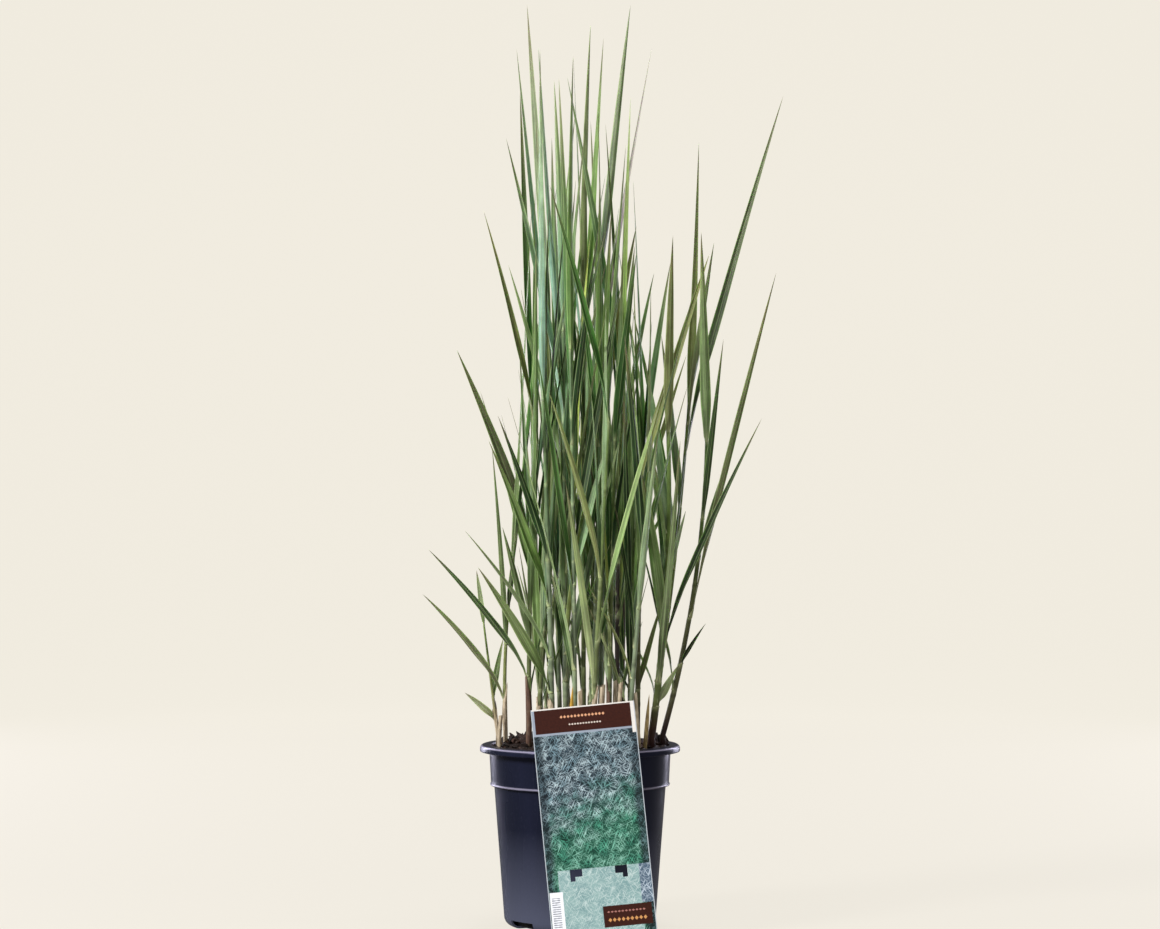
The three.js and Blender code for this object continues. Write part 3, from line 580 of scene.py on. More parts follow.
def skin(rings, u, v, start=None, end=None, **values):
    """Faces over rings of points (rows, columns, 3) that close round each row.

    u has a value for each column and one more for the way back to the first, v one for each
    row. A start or end point closes that end with triangles. Other values are one for each
    row, or for each point, and go along as attributes.
    """
    rows, columns = rings.shape[:2]
    index = np.arange(rows * columns).reshape(rows, columns)
    beside = np.roll(index, -1, 1)
    quads = np.stack([index[:-1], beside[:-1], beside[1:], index[1:]], -1).reshape(-1, 4)
    u, v = np.asarray(u, float), np.asarray(v, float)
    corner_u = np.stack([u[:-1], u[1:], u[1:], u[:-1]], -1)[None]
    corner_v = np.stack([v[:-1], v[:-1], v[1:], v[1:]], -1)[:, None]
    quad_uv = np.stack(np.broadcast_arrays(corner_u, corner_v), -1).reshape(-1, 4, 2)
    points = rings.reshape(-1, 3)
    tris, tri_uv = [np.zeros((0, 3), int)], [np.zeros((0, 3, 2))]
    for point, ring, level, turn in ((start, 0, v[0], -1), (end, rows - 1, v[-1], 1)):
        if point is not None:
            apex = np.full(columns, len(points))
            points = np.vstack([points, point])
            fan_u = np.stack([u[:-1], u[1:], (u[:-1] + u[1:]) / 2], -1)
            tris.append(np.stack([index[ring], beside[ring], apex], -1)[:, ::turn])
            tri_uv.append(np.stack([fan_u, np.full_like(fan_u, level)], -1)[:, ::turn])
    tris, tri_uv = np.vstack(tris), np.vstack(tri_uv)
    made = {}
    for name, value in values.items():
        value = np.asarray(value, float)
        if value.shape[0] == rows and (value.ndim == 1 or value.shape[1] != columns):
            value = np.repeat(value, columns, 0)
        else:
            value = value.reshape(rows * columns, *value.shape[2:])
        ends = [value[row * columns:(row + 1) * columns].mean(0, keepdims=True)
                for point, row in ((start, 0), (end, rows - 1)) if point is not None]
        made[name] = np.concatenate([value, *ends])
    return facing_out(new_part(points, quads, quad_uv, tris, tri_uv, **made))


def new_part(points, quads=None, quad_uv=None, tris=None, tri_uv=None, **values):
    """A part of a mesh: its points, its four- and three-sided faces with their places in the pattern."""
    return {
        "points": points, "values": values,
        "quads": np.zeros((0, 4), int) if quads is None else quads,
        "quad_uv": np.zeros((0, 4, 2)) if quad_uv is None else quad_uv,
        "tris": np.zeros((0, 3), int) if tris is None else tris,
        "tri_uv": np.zeros((0, 3, 2)) if tri_uv is None else tri_uv,
    }


def circle(columns):
    """Points evenly round a circle of radius 1."""
    angle = np.arange(columns) * 2 * math.pi / columns
    return np.stack([np.cos(angle), np.sin(angle)], -1)


def way_round(columns):
    """The share of the way round at each column, and at the first one again."""
    return np.arange(columns + 1) / columns


def facing_out(part):
    """Turns every face over when the volume inside them comes out negative."""
    p = part["points"] - part["points"].mean(0)
    a, b, c, d = (p[part["quads"][:, k]] for k in range(4))
    volume = dot(a, np.cross(b, c)).sum() + dot(a, np.cross(c, d)).sum()
    a, b, c = (p[part["tris"][:, k]] for k in range(3))
    volume += dot(a, np.cross(b, c)).sum()
    if volume < 0:
        for name in ("quads", "quad_uv", "tris", "tri_uv"):
            part[name] = part[name][:, ::-1]
    return part


def make_mesh(name, groups, sharp_angle=None):
    """One mesh of several parts. groups has a pair of a material and its parts for each slot."""
    mesh = bpy.data.meshes.new(name)
    parts = [part for _, group in groups for part in group]
    offsets = np.cumsum([0] + [len(part["points"]) for part in parts])
    slots = np.concatenate([[slot] * len(group) for slot, (_, group) in enumerate(groups)]).astype(int)
    quads = np.vstack([part["quads"] + at for part, at in zip(parts, offsets)])
    tris = np.vstack([part["tris"] + at for part, at in zip(parts, offsets)])
    points = np.vstack([part["points"] for part in parts]) * MM
    mesh.vertices.add(len(points))
    mesh.vertices.foreach_set("co", points.astype(np.float32).ravel())
    mesh.loops.add(quads.size + tris.size)
    mesh.loops.foreach_set("vertex_index", np.concatenate([quads.ravel(), tris.ravel()]).astype(np.int32))
    mesh.polygons.add(len(quads) + len(tris))
    starts = np.concatenate([np.arange(len(quads)) * 4, quads.size + np.arange(len(tris)) * 3])
    mesh.polygons.foreach_set("loop_start", starts.astype(np.int32))
    own = [np.repeat(slots, [len(part[kind]) for part in parts]) for kind in ("quads", "tris")]
    for material, _ in groups:
        mesh.materials.append(material)
    mesh.polygons.foreach_set("material_index", np.concatenate(own).astype(np.int32))
    mesh.polygons.foreach_set("use_smooth", np.ones(len(mesh.polygons), bool))
    places = [np.vstack([part[kind] for part in parts]).ravel() for kind in ("quad_uv", "tri_uv")]
    layer = mesh.uv_layers.new(name="surface")
    layer.uv.foreach_set("vector", np.concatenate(places).astype(np.float32))
    for key in parts[0]["values"]:
        value = np.concatenate([part["values"][key] for part in parts])
        if value.ndim == 2:
            value = np.column_stack([value, np.ones(len(value))])
            made = mesh.attributes.new(key, "FLOAT_COLOR", "POINT")
            made.data.foreach_set("color", value.astype(np.float32).ravel())
        else:
            mesh.attributes.new(key, "FLOAT", "POINT").data.foreach_set("value", value.astype(np.float32))
    mesh.update(calc_edges=True)
    if sharp_angle is not None:
        mesh.set_sharp_from_angle(angle=math.radians(sharp_angle))
    mesh.validate()
    return mesh


def add_piece(name, mesh, slot, *nodes):
    """Puts a mesh in the scene as a piece of the object, in place of the nodes named."""
    piece = bpy.data.objects.new(name, mesh)
    bpy.context.scene.collection.objects.link(piece)
    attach(piece, "root")
    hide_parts(*nodes)


def count_triangles(mesh):
    """How many triangles a mesh comes to."""
    return int(sum(len(p.vertices) - 2 for p in mesh.polygons))


print("a circle of 4 points:", np.round(circle(4), 3).tolist())

# %% [markdown]
# Materials are built from nodes. One function turns the usual hex colours to the linear values
# that a shader works in, and one adds a node, sets it up and links it in a single call. The
# others name what the materials here are made with: products, ranges, noise and layers.

# %% Colours and nodes


def colour(code):
    """An sRGB hex code as linear red, green and blue."""
    value = np.array([int(code[i:i + 2], 16) / 255 for i in (1, 3, 5)])
    return np.where(value <= 0.04045, value / 12.92, ((value + 0.055) / 1.055) ** 2.4)


def rgba(code):
    """The same with an opaque alpha, as a socket takes it."""
    return (*colour(code), 1.0)


class Finish:
    """A material in the making. Each method adds a node and gives back its output."""

    def __init__(self, name, **constants):
        self.material = bpy.data.materials.new(name)
        self.material.use_nodes = True
        self.tree = self.material.node_tree
        self.shader = self.tree.nodes["Principled BSDF"]
        for socket, value in constants.items():
            self.shader.inputs[socket.replace("_", " ")].default_value = value
        place = self.tree.nodes.new("ShaderNodeTexCoord")
        self.surface, self.space = place.outputs["UV"], place.outputs["Object"]

    def add(self, kind, inputs, out=0, stops=(), **settings):
        """Adds a node. Settings are its own choices, inputs its values or links, stops its ramp."""
        node = self.tree.nodes.new("ShaderNode" + kind)
        for name, value in settings.items():
            setattr(node, name, value)
        for name, value in inputs.items():
            if isinstance(value, bpy.types.NodeSocket):
                self.tree.links.new(value, node.inputs[name])
            else:
                node.inputs[name].default_value = value
        for k, (position, code) in enumerate(stops):
            node.color_ramp.elements[k].position = position
            node.color_ramp.elements[k].color = rgba(code)
        return node.outputs[out]

    def own(self, name, out="Color"):
        """A value that the mesh carries."""
        return self.add("Attribute", {}, out, attribute_name=name)

    def axis(self, vector, letter):
        """One coordinate of a vector."""
        return self.add("SeparateXYZ", {0: vector}, letter)

    def maths(self, operation, *values):
        """One step of arithmetic."""
        return self.add("Math", dict(enumerate(values)), operation=operation)

    def times(self, product, *values):
        """The product of all values."""
        for value in values:
            product = self.maths("MULTIPLY", product, value)
        return product

    def distance(self, value, middle):
        """How far a value is from the middle."""
        return self.maths("ABSOLUTE", self.maths("SUBTRACT", value, middle))

    def ranged(self, value, low, high, first, last):
        """Runs from first to last while the value runs from low to high."""
        return self.add("MapRange", {0: value, 1: low, 2: high, 3: first, 4: last})

    def noise(self, vector, scale, detail, distortion=0.0):
        """Noise with so many swells to a unit of the vector."""
        return self.add("TexNoise", {0: vector, "Scale": scale, "Detail": detail, "Distortion": distortion})

    def moved(self, vector, **changes):
        """A place shifted, turned or stretched."""
        return self.add("Mapping", {"Vector": vector, **changes})

    def ramp(self, value, *stops):
        """A colour between two hex codes, each at its position."""
        return self.add("ValToRGB", {0: value}, stops=stops)

    def over(self, base, top, mask):
        """A colour over another as far as the mask goes. Each is an output or a hex code."""
        base, top = (rgba(tone) if isinstance(tone, str) else tone for tone in (base, top))
        return self.add("Mix", {0: mask, 6: base, 7: top}, 2, data_type="RGBA")

    def shaded(self, tone, factor):
        """A colour made lighter or darker."""
        return self.add("VectorMath", {0: tone, "Scale": factor}, operation="SCALE")

    def finish(self, bump=None, **outputs):
        """Links outputs to the shader. A bump has a height, a depth in metres and a strength."""
        if bump:
            height, depth, strength = bump
            inputs = {"Height": height, "Distance": depth, "Strength": strength}
            outputs["Normal"] = self.add("Bump", inputs)
        for socket, output in outputs.items():
            self.tree.links.new(output, self.shader.inputs[socket.replace("_", " ")])
        return self.material


print("mid grey is", np.round(colour("#808080"), 3))

# %% [markdown]
# A living leaf blade of this grass is matt to satin and covered by a thin, pale, bluish wax.
# Parallel veins run its whole length, a third to half a millimetre apart, with a paler midrib.
# The colour of each blade is worked out with its shape: it differs from blade to blade, is
# paler at the collar, and dries to straw at some tips. The shader adds the veins and blotches.

# %% Leaf and stem materials


def leaf_material():
    """Waxy living leaf: its own colour, ruled with veins and clouded with wax."""
    leaf = Finish(
        "waxy_leaf_blade", Roughness=0.46, IOR=1.42, Specular_IOR_Level=0.3,
        Subsurface_Weight=0.18, Subsurface_Radius=(0.5, 1.0, 0.25), Subsurface_Scale=0.001,
    )
    across = leaf.axis(leaf.surface, "X")
    # Seven veins show on each side of the midrib of an 8 mm blade. They fade where it narrows.
    vein = leaf.maths("COSINE", leaf.times(across, 2 * math.pi * 14))
    vein = leaf.times(vein, leaf.own("ribs", "Fac"))
    # Streaks of wax run along the blade: 1.5 mm wide and some centimetres long.
    streak = leaf.noise(leaf.moved(leaf.surface, Scale=(6, 1.6, 1)), 1.0, 3.0)
    shade = leaf.times(
        leaf.maths("MULTIPLY_ADD", vein, 0.06, 1.0),
        leaf.ranged(streak, 0.3, 0.7, 0.55, 1.55),
        leaf.ranged(leaf.noise(leaf.space, 60.0, 4.0), 0.3, 0.7, 0.8, 1.22),
        leaf.ranged(leaf.noise(leaf.space, 800.0, 2.0), 0.3, 0.7, 0.93, 1.07),
    )
    tone = leaf.shaded(leaf.own("tone"), shade)
    # The midrib is a pale line. The pale line along each edge is a painted highlight, where the edges catch
    # the light.
    off = leaf.distance(across, 0.5)
    tone = leaf.over(tone, "#9DB47C", leaf.ranged(off, 0.02, 0.055, 0.45, 0.0))
    tone = leaf.over(tone, "#B4C48E", leaf.ranged(off, 0.42, 0.5, 0.0, 0.6))
    return leaf.finish((vein, 0.00006, 0.6), Base_Color=tone)


def stem_material():
    """Sheathed grass stem: fine ribs under a waxy bloom, in the colour worked out for it."""
    stem = Finish("sheathed_stem", Roughness=0.42, IOR=1.42, Specular_IOR_Level=0.4, Sheen_Weight=0.1)
    # Ribs half a millimetre apart round a stem of 13 mm girth.
    rib = stem.maths("COSINE", stem.times(stem.axis(stem.surface, "X"), 2 * math.pi * 26))
    bloom = stem.ranged(stem.noise(stem.space, 90.0, 5.0), 0.3, 0.7, 0.65, 1.3)
    shade = stem.times(stem.maths("MULTIPLY_ADD", rib, 0.05, 1.0), bloom)
    return stem.finish((rib, 0.00008, 0.6), Base_Color=stem.shaded(stem.own("tone"), shade))


def straw_material(name, light, dark, roughness):
    """Dry grass: lengthwise fibres, grey weathering and small dark specks."""
    straw = Finish(name, Roughness=roughness, IOR=1.45, Specular_IOR_Level=0.3)
    # Fibres about 0.4 mm apart.
    fibres = straw.noise(straw.moved(straw.space, Scale=(1, 1, 0.06)), 1300.0, 3.0)
    grey = straw.ranged(straw.noise(straw.space, 160.0, 4.0), 0.5, 0.68, 0.0, 0.6)
    tone = straw.over(straw.ramp(fibres, (0.32, dark), (0.62, light)), "#6F6250", grey)
    return straw.finish((fibres, 0.0002, 0.6), Base_Color=tone)


LEAF = leaf_material()
SHEATH = stem_material()
print("materials:", LEAF.name, SHEATH.name)

# %% [markdown]
# A blade could be a flat strip, but a real one clasps the stem at its collar, opens within a
# centimetre, stays a shallow channel, and carries a keel under its midrib. So its section is an
# arc of a set curvature: tight round the stem at the root, then nearly flat. It has two faces,
# a third of a millimetre apart, that meet at thin edges.

# %% Blades
LEAF_THICKNESS = 0.34
KEEL = 0.25
TIP_ROOM = 0.01         # share of the last stretch by which a tip stays inside the solid model's
SLIMMER = 0.86          # width of the blades of the rule, over the solid model's
CLASP = 0.045           # share of the length over which a blade opens from the stem
LAST_STATION = 0.988    # share of the length at the last ring before the tip
DRY_TIP = colour("#A08A5A")
BROWN_TIP = colour("#5C503F")
OLIVE = colour("#75764C")
DRAB = colour("#73735A")    # what the outer and the lower leaves turn towards
MIDDLE = 8                  # where the plant's middle lies across, in mm
VEINED = 0.5, 1.9           # half widths, in mm, from which veins show and above which they are full
WAX = colour("#93AC93")
PALE_WAX = colour("#9CAC84")
COLLAR = colour("#C2CE98")

# Body colours of the blades, and how often each comes.
TONES = {
    "blue": ("#769A8A", 0.06), "glaucous": ("#688E64", 0.17), "green": ("#64863C", 0.26),
    "deep": ("#3C662A", 0.2), "dark": ("#233F1A", 0.18), "olive": ("#767A3E", 0.09),
    "lime": ("#8C9A44", 0.04),
    "grey": ("#66705A", 0.0), "withered": ("#A2909A", 0.0), "scorched": ("#5C5A40", 0.0),
    "fresh": ("#7C9A4C", 0.0), "dusky": ("#4B5944", 0.0),
}
PALE = colour("#8D9376")    # the thin tops of the highest blades


def pick(draw):
    """A tone by chance, each as often as its share."""
    names = list(TONES)
    edges = np.cumsum([TONES[name][1] for name in names])
    return names[min(int(np.searchsorted(edges, draw() * edges[-1])), len(names) - 1)]


def blade_look(draw, tone=None):
    """What differs from blade to blade: tone, brightness, fold, bluntness, waves and dryness of the tip."""
    bright = lerp(0.7, 1.75, draw() ** 1.4)
    if tone:
        bright = lerp(0.92, 1.14, bright - 0.7)
    tone = tone or pick(draw)
    if tone == "lime":
        bright = min(bright, 1.1)
    living = tone != "withered"
    # The lightest leaves are light because of their wax, and so they are paler too.
    body = colour(TONES[tone][0]) * bright
    body = toned(body, PALE_WAX, 0.6 * smoothstep(bright, 1.1, 1.65))
    return {
        "body": body, "fold": lerp(0.25, 0.75, draw()), "blunt": lerp(1.35, 2.6, draw()),
        "wave": draw(), "dry": living * 0.9 * max(0, draw() - 0.5), "brown": (draw() < 0.65) * living,
        "under": lerp(0.1, 0.5, draw()), "olive": living * lerp(0.1, 0.7, draw()),
    }


def toned(tone, target, share):
    """A colour drawn towards another by a share, at its own brightness."""
    return lerp(tone, target * tone.sum(-1, keepdims=True) / target.sum(), share)


def ribbon(centre, side, up, sideways, rise, tilt, thick, under):
    """Rings of a strip of two faces: over its section by thick, and back under it by under."""

    def face(lift):
        return (centre[:, None] + side[:, None] * (sideways - lift * np.sin(tilt))[..., None]
                + up[:, None] * (rise + lift * np.cos(tilt))[..., None])

    return np.concatenate([face(thick), face(-under)[:, ::-1]], 1)


def there_and_back(s):
    """The share across at each column over the strip and back under it, and at the first again."""
    u = (s + 1) / 2
    return np.concatenate([u, u[::-1], u[:1]])


def blade_skin(blade, stem_radius, look, stations, columns):
    """A blade: a folded section carried along its curve, with a keel under the middle.

    Near the root the section is an arc about the stem. Beyond the clasp it is a V with a round
    bottom, whose height is fold * half * (sqrt(s^2 + 0.02) - 0.14) for s from -1 to 1 across.
    """
    opened = CLASP + (LAST_STATION - CLASP) * np.linspace(0, 1, stations - 5)
    t = np.concatenate([np.linspace(0, CLASP, 6)[:-1], opened])
    centre, tangent, side, half = blade_frames(blade, t)
    # Each blade narrows by a power of its own.
    blunt = np.where(t < WIDEST, 1, narrowed(t, look["blunt"]) / np.maximum(narrowed(t, NARROWING), 1e-3))
    half = half * np.minimum(blunt, 1.5) * (1 if blade["traced"] is not None else SLIMMER)
    up = np.cross(tangent, side)
    up *= -1 if up[0, 2] < 0 else 1
    outward = unit((blade["tip"] - blade["root"]) * [1, 1, 0])
    opening = smoothstep(t, 0, CLASP)[:, None]
    collar_radius = stem_radius * 1.12
    shift = (collar_radius - ROOT_OFFSET * stem_radius) * (1 - smoothstep(t, 0, 2 * CLASP))
    centre = centre + outward * shift[:, None]
    half = half[:, None]
    s = np.linspace(-1, 1, columns)[None]
    clasped = min(2.2 * collar_radius, 0.62 * blade["width"])
    around = s * clasped / collar_radius
    ripple = 0.035 * half * s * abs(s) * np.sin(2 * math.pi * (look["wave"] + 2.7 * t[:, None]))
    rise = look["fold"] * half * (np.sqrt(s ** 2 + 0.02) - 0.14) + ripple
    slope = look["fold"] * s / np.sqrt(s ** 2 + 0.02)
    sideways = lerp(collar_radius * np.sin(around), s * half, opening)
    rise = lerp(collar_radius * (1 - np.cos(around)), rise, opening)
    tilt = lerp(around, np.arctan(slope), opening)
    thick = LEAF_THICKNESS / 2 * (1 - 0.75 * s ** 2) * (1 - 0.45 * t[:, None])
    keel = np.minimum(KEEL * (1 - 0.8 * t[:, None]), 0.6 * half) * np.exp(-(s / 0.13) ** 2) * opening

    rings = ribbon(centre, side, up, sideways, rise, tilt, thick, thick + keel)
    length = np.linalg.norm(blade["tip"] - blade["root"])
    above = blade_colours(look, look["body"], t, centre)
    below = blade_colours(look, toned(look["body"], WAX, look["under"]), t, centre)
    tone = np.concatenate([np.repeat(part[:, None], columns, 1) for part in (above, below)], 1)
    return skin(rings, there_and_back(s[0]), t * length / 100 + 7 * look["wave"],
                start=rings[0].mean(0), end=lerp(blade["tip"], centre[-1], TIP_ROOM),
                tone=tone, ribs=smoothstep(half[:, 0], *VEINED))


def blade_colours(look, body, t, centre):
    """Colours along a blade: paler at the collar, its own in the middle, drying at the tip.

    The outer and the lower leaves are duller and yellower than the inner ones, and the highest
    tops are paler. The lower leaves and the left ones are also painted darker: painted shade.
    """
    x, z = centre[:, 0], centre[:, 2]
    tone = lerp(lerp(body, COLLAR, 0.55), body, smoothstep(t, 0, 0.09)[:, None])
    olive = smoothstep(t, 0.3, 0.95) * lerp(0.5, 1.0, smoothstep(z, 430, 600))
    tone = toned(tone, OLIVE, look["olive"] * olive[:, None])
    drab = 0.45 * smoothstep(abs(x - MIDDLE), 40, 75)
    drab = drab + lerp(0.4, 0, smoothstep(z, 200, 330)) + lerp(0.12, 0, smoothstep(z, 330, 470))
    tone = toned(tone, DRAB, np.minimum(drab, 0.6)[:, None])
    tone = lerp(tone, DRY_TIP, look["dry"] * smoothstep(t, 0.72, 1.0)[:, None])
    tone = lerp(tone, PALE, 0.4 * smoothstep(z, 540, 740)[:, None])
    # Painted shade: the lower leaves and the left ones are painted darker, as if the others shaded them.
    light = lerp(0.88, 1.0, smoothstep(z, 360, 560)) * lerp(0.84, 1.0, smoothstep(x, -70, -20))
    tone = tone * light[:, None]
    return lerp(tone, BROWN_TIP, 0.85 * look["brown"] * smoothstep(t, 0.82, 0.96)[:, None])


print(len(TONES), "tones of blade")

# %% [markdown]
# A stem is a tube whose radius tells its parts. The sheaths lie one inside the other, so each
# one widens a little towards its collar and ends there in an edge. Joints show as short
# swellings with a pale ring, some centimetres apart. The foot is brown and often still carries
# the torn, papery sheath of a leaf that died.

# %% Stems
SHEATH_STEP = 0.1
JOINT_SWELL = 0.08
JOINT_STEP = 88
STEM_COLUMNS = 14
JOINT = colour("#3E3626")
JOINT_RING = colour("#B4BE92")
PAPER = colour("#B59F74")


def stem_skin(row, collars, draw, foot_tone, body_tone, upper_tone):
    """A tube along a culm's curve, with its sheath edges and joints."""
    collars = np.sort(np.array([CROWN_LEVEL - 20] + collars + [row[3] + 12.0]))
    joints = np.arange(CROWN_LEVEL + 22 + 50 * draw(), row[3] - 12, JOINT_STEP * lerp(0.85, 1.15, draw()))
    edges = (collars[:, None] + [-2, 0, 0.6]).ravel()
    swells = (joints[:, None] + [-3, -1.5, 0, 1.5, 3]).ravel()
    z = np.unique(np.concatenate([np.arange(CROWN_LEVEL, row[3], 7.0), edges, swells, [row[3]]]))
    z = z[(z >= CROWN_LEVEL) & (z <= row[3])]
    z = z[np.concatenate([[True], np.diff(z) > 0.3])]
    t = (z - CROWN_LEVEL) / (row[3] - CROWN_LEVEL)
    curve = culm_curve(row)
    centre = bezier(curve, t)
    above = np.clip(np.searchsorted(collars, z - 0.3), 1, len(collars) - 1)
    risen = (z - collars[above - 1]) / (collars[above] - collars[above - 1])
    away = abs(z[:, None] - joints).min(1) if len(joints) else np.full(len(z), 99.0)
    swell = np.exp(-(away / 1.8) ** 2)
    radius = row[5] * lerp(1, STEM_TAPER, t) * (1 + SHEATH_STEP * (risen - 0.5) + JOINT_SWELL * swell)
    ring = np.pad(circle(STEM_COLUMNS), ((0, 0), (0, 1)))
    rings = centre[:, None] + ring * radius[:, None, None]
    tone = lerp(colour(body_tone), colour(upper_tone), smoothstep(t, 0.35, 0.8)[:, None])
    tone = tone * (0.86 + 0.3 * (np.sin(above * 2.4) * 0.5 + 0.5) * 0.9)[:, None]
    tone = lerp(tone, COLLAR, 0.32 * smoothstep(risen, 0.93, 1.0)[:, None])
    tone = lerp(tone, JOINT_RING, 0.2 * np.exp(-((away - 2.6) / 1.1) ** 2)[:, None])
    tone = lerp(tone, JOINT, 0.25 * swell[:, None])
    tone = lerp(colour(foot_tone), tone, smoothstep(z, CROWN_LEVEL + 2, CROWN_LEVEL + 46)[:, None])
    below = rings[:1] * [1, 1, 0] + [0, 0, HOLE_FLOOR + 1]
    point = curve[2] + tangent_of(curve, 1.0) * 14
    height = np.concatenate([[HOLE_FLOOR], z]) / 100
    return skin(np.concatenate([below, rings]), way_round(STEM_COLUMNS), height, start=below[0].mean(0),
                end=point, tone=np.concatenate([tone[:1], tone]), ribs=np.ones(len(height)))


def papery_sheath(row, height, draw):
    """A torn sheath about a stem's foot: a thin wall up to a ragged edge and down inside."""
    columns = 18
    angle = np.arange(columns) * 2 * math.pi / columns
    curve = culm_curve(row)
    opening = draw() * 2 * math.pi
    # The sheath is split down one side, where its edge hangs lower.
    torn = -0.5 * height * np.exp(-((np.cos((angle - opening) / 2) ** 2 - 1) / 0.25) ** 2)
    rag = torn + np.array([3.5 * (draw() - 0.5) for _ in range(columns)])
    rag = rag + 0.3 * height * np.exp(-((np.cos((angle - opening) / 2) ** 2) / 0.2) ** 2)
    outside = ((-0.35, 1.08), (0, 1.1), (0.3, 1.13), (0.7, 1.2), (1, 1.42))
    inside = ((1, 1.3), (0.7, 1.1), (0.3, 1.06))
    rings = []
    for share, wide in outside + inside:
        z = CROWN_LEVEL + np.maximum(share * height + max(share, 0) * rag, -12)
        centre = bezier(curve, np.clip((z - CROWN_LEVEL) / (row[3] - CROWN_LEVEL), 0, 1))
        radius = row[5] * (wide + 0.07 * np.sin(3 * angle + 5 * share))
        flat = centre[:, :2] + radius[:, None] * circle(columns)
        rings.append(np.column_stack([flat, z]))
    rings = np.array(rings)
    return skin(rings, way_round(columns), np.arange(len(rings)) / 10,
                start=rings[0].mean(0), end=rings[-1].mean(0),
                tone=np.tile(PAPER, (len(rings), 1)), ribs=np.ones(len(rings)))


# Colours of a stem: at its foot, in its sheaths and towards its top.
STEM_TONES = {
    "green": ("#5E4E34", "#636E44", "#5B703A"),
    "bluish": ("#5C5238", "#768469", "#667F57"),
    "straw": ("#A8967A", "#7E864E", "#667A3C"),
    "purple": ("#2A1B1B", "#3B312E", "#4E6039"),
    "ruddy": ("#39201B", "#62703E", "#5E743A"),
    "dark": ("#33211F", "#555637", "#5A733C"),
}
STEM_OF = {
    0: "straw", 1: "straw", 2: "green", 4: "bluish", 6: "bluish", 13: "purple", 14: "purple", 15: "ruddy",
    16: "dark", 17: "ruddy", 18: "dark", 19: "ruddy",
}
# Blades whose colour is known: culm and number in the table.
TONE_OF = {
    (0, 0): "olive", (0, 1): "green", (1, 0): "olive", (1, 1): "green", (2, 0): "deep", (2, 1): "green",
    (2, 2): "olive", (3, 0): "green", (3, 1): "scorched", (3, 2): "deep", (4, 0): "green", (4, 2): "green",
    (4, 4): "blue", (5, 0): "blue", (5, 1): "blue", (5, 2): "grey", (7, 2): "deep", (7, 3): "green",
    (8, 3): "green", (8, 4): "olive", (9, 0): "withered", (9, 1): "grey", (10, 1): "green", (10, 2): "green",
    (11, 4): "green", (12, 1): "deep", (13, 2): "fresh", (13, 3): "deep",
    (15, 0): "green", (15, 1): "olive", (17, 1): "dark", (17, 2): "green", (17, 4): "olive",
    (18, 1): "olive", (18, 4): "green", (19, 0): "dusky", (19, 1): "olive", (19, 2): "olive",
}
# Culms that still carry a torn sheath, and its height. The ones on the right are brown.
PAPERY = {0: 22, 1: 34, 2: 40, 4: 26, 10: 34, 12: 40, 20: 30, 24: 26, 25: 36, 26: 24}
BROWN = {2, 12, 26}
STRAW = straw_material("weathered_straw", "#C6B79E", "#7C6A54", 0.75)
BROWN_STRAW = straw_material("brown_sheath", "#6B5142", "#3D2A24", 0.7)

DETAIL = ((BLADES, 32, 9), (LONG_BLADES, 20, 7), (SHORT_BLADES, 16, 7))     # stations and columns

total = 0
for i, row in enumerate(CULMS):
    draw = seeded_random(SEED + 7001 + i)
    collars = [blade["collar"] for blade in BLADES[i]]
    stem_look = STEM_OF.get(i, ("green", "bluish")[draw() < 0.3])
    stem = stem_skin(row, collars, draw, *STEM_TONES[stem_look])
    skins = []
    for blades, stations, columns in DETAIL:
        for blade in blades[i]:
            radius = row[5] * lerp(1, STEM_TAPER, along_culm(row, blade["collar"]))
            look = blade_look(draw, TONE_OF.get((i, blade["traced"])))
            skins.append(blade_skin(blade, radius, look, stations, columns))
    groups = [(SHEATH, [stem]), (LEAF, skins)]
    if i in PAPERY:
        groups.append((BROWN_STRAW if i in BROWN else STRAW, [papery_sheath(row, PAPERY[i], draw)]))
    mesh = make_mesh(f"leafy_stem_{i + 1:02d}", groups)
    add_piece(mesh.name, mesh, "foliage", f"culm_{i + 1:02d}")
    total += count_triangles(mesh)
print(len(CULMS), "leafy stems of", total, "triangles in all")

# %% [markdown]
# The pot is injection moulded polypropylene, black with a cool tint, with a thin wall, a rolled
# lip, a step where pots stack into each other, and drainage slots through the base corner. It
# is one profile turned round its axis. The faces in the slots are left out on both walls, and
# short walls join the two round each slot.

# %% Pot
GAP = 0.3
POT_HEIGHT = 153.5
RIM_RADIUS = 85
LIP_HEIGHT = 5.8
WALL = 1.5
BAND_FOOT_RADIUS = 75.5
BAND_FOOT_HEIGHT = 120.5
WAIST_RADIUS = 72.8
STEP_HEIGHT = 2
BASE_RADIUS = 64.5
BASE_CORNER = 8
FLOOR = 2
SLOT_COUNT = 6
SLOT_ANGLE = 26
SLOT_INNER_RADIUS = 50
FIRST_SLOT = -141
SLOT_ROW = 5            # the row of the profile where a slot begins
SLOT_SPAN = 11          # how many rows it takes
POT_COLUMNS = 180


def arc(centre, radius, first, last, count):
    """Points of a circular arc in a profile, between two angles in degrees."""
    angle = np.radians(np.linspace(first, last, count))
    return np.stack([centre[0] + radius * np.cos(angle), centre[1] + radius * np.sin(angle)], -1)


def line(a, b, count):
    """Points from a to b, without b."""
    return lerp(np.array(a, float), np.array(b, float), np.arange(count)[:, None] / count)


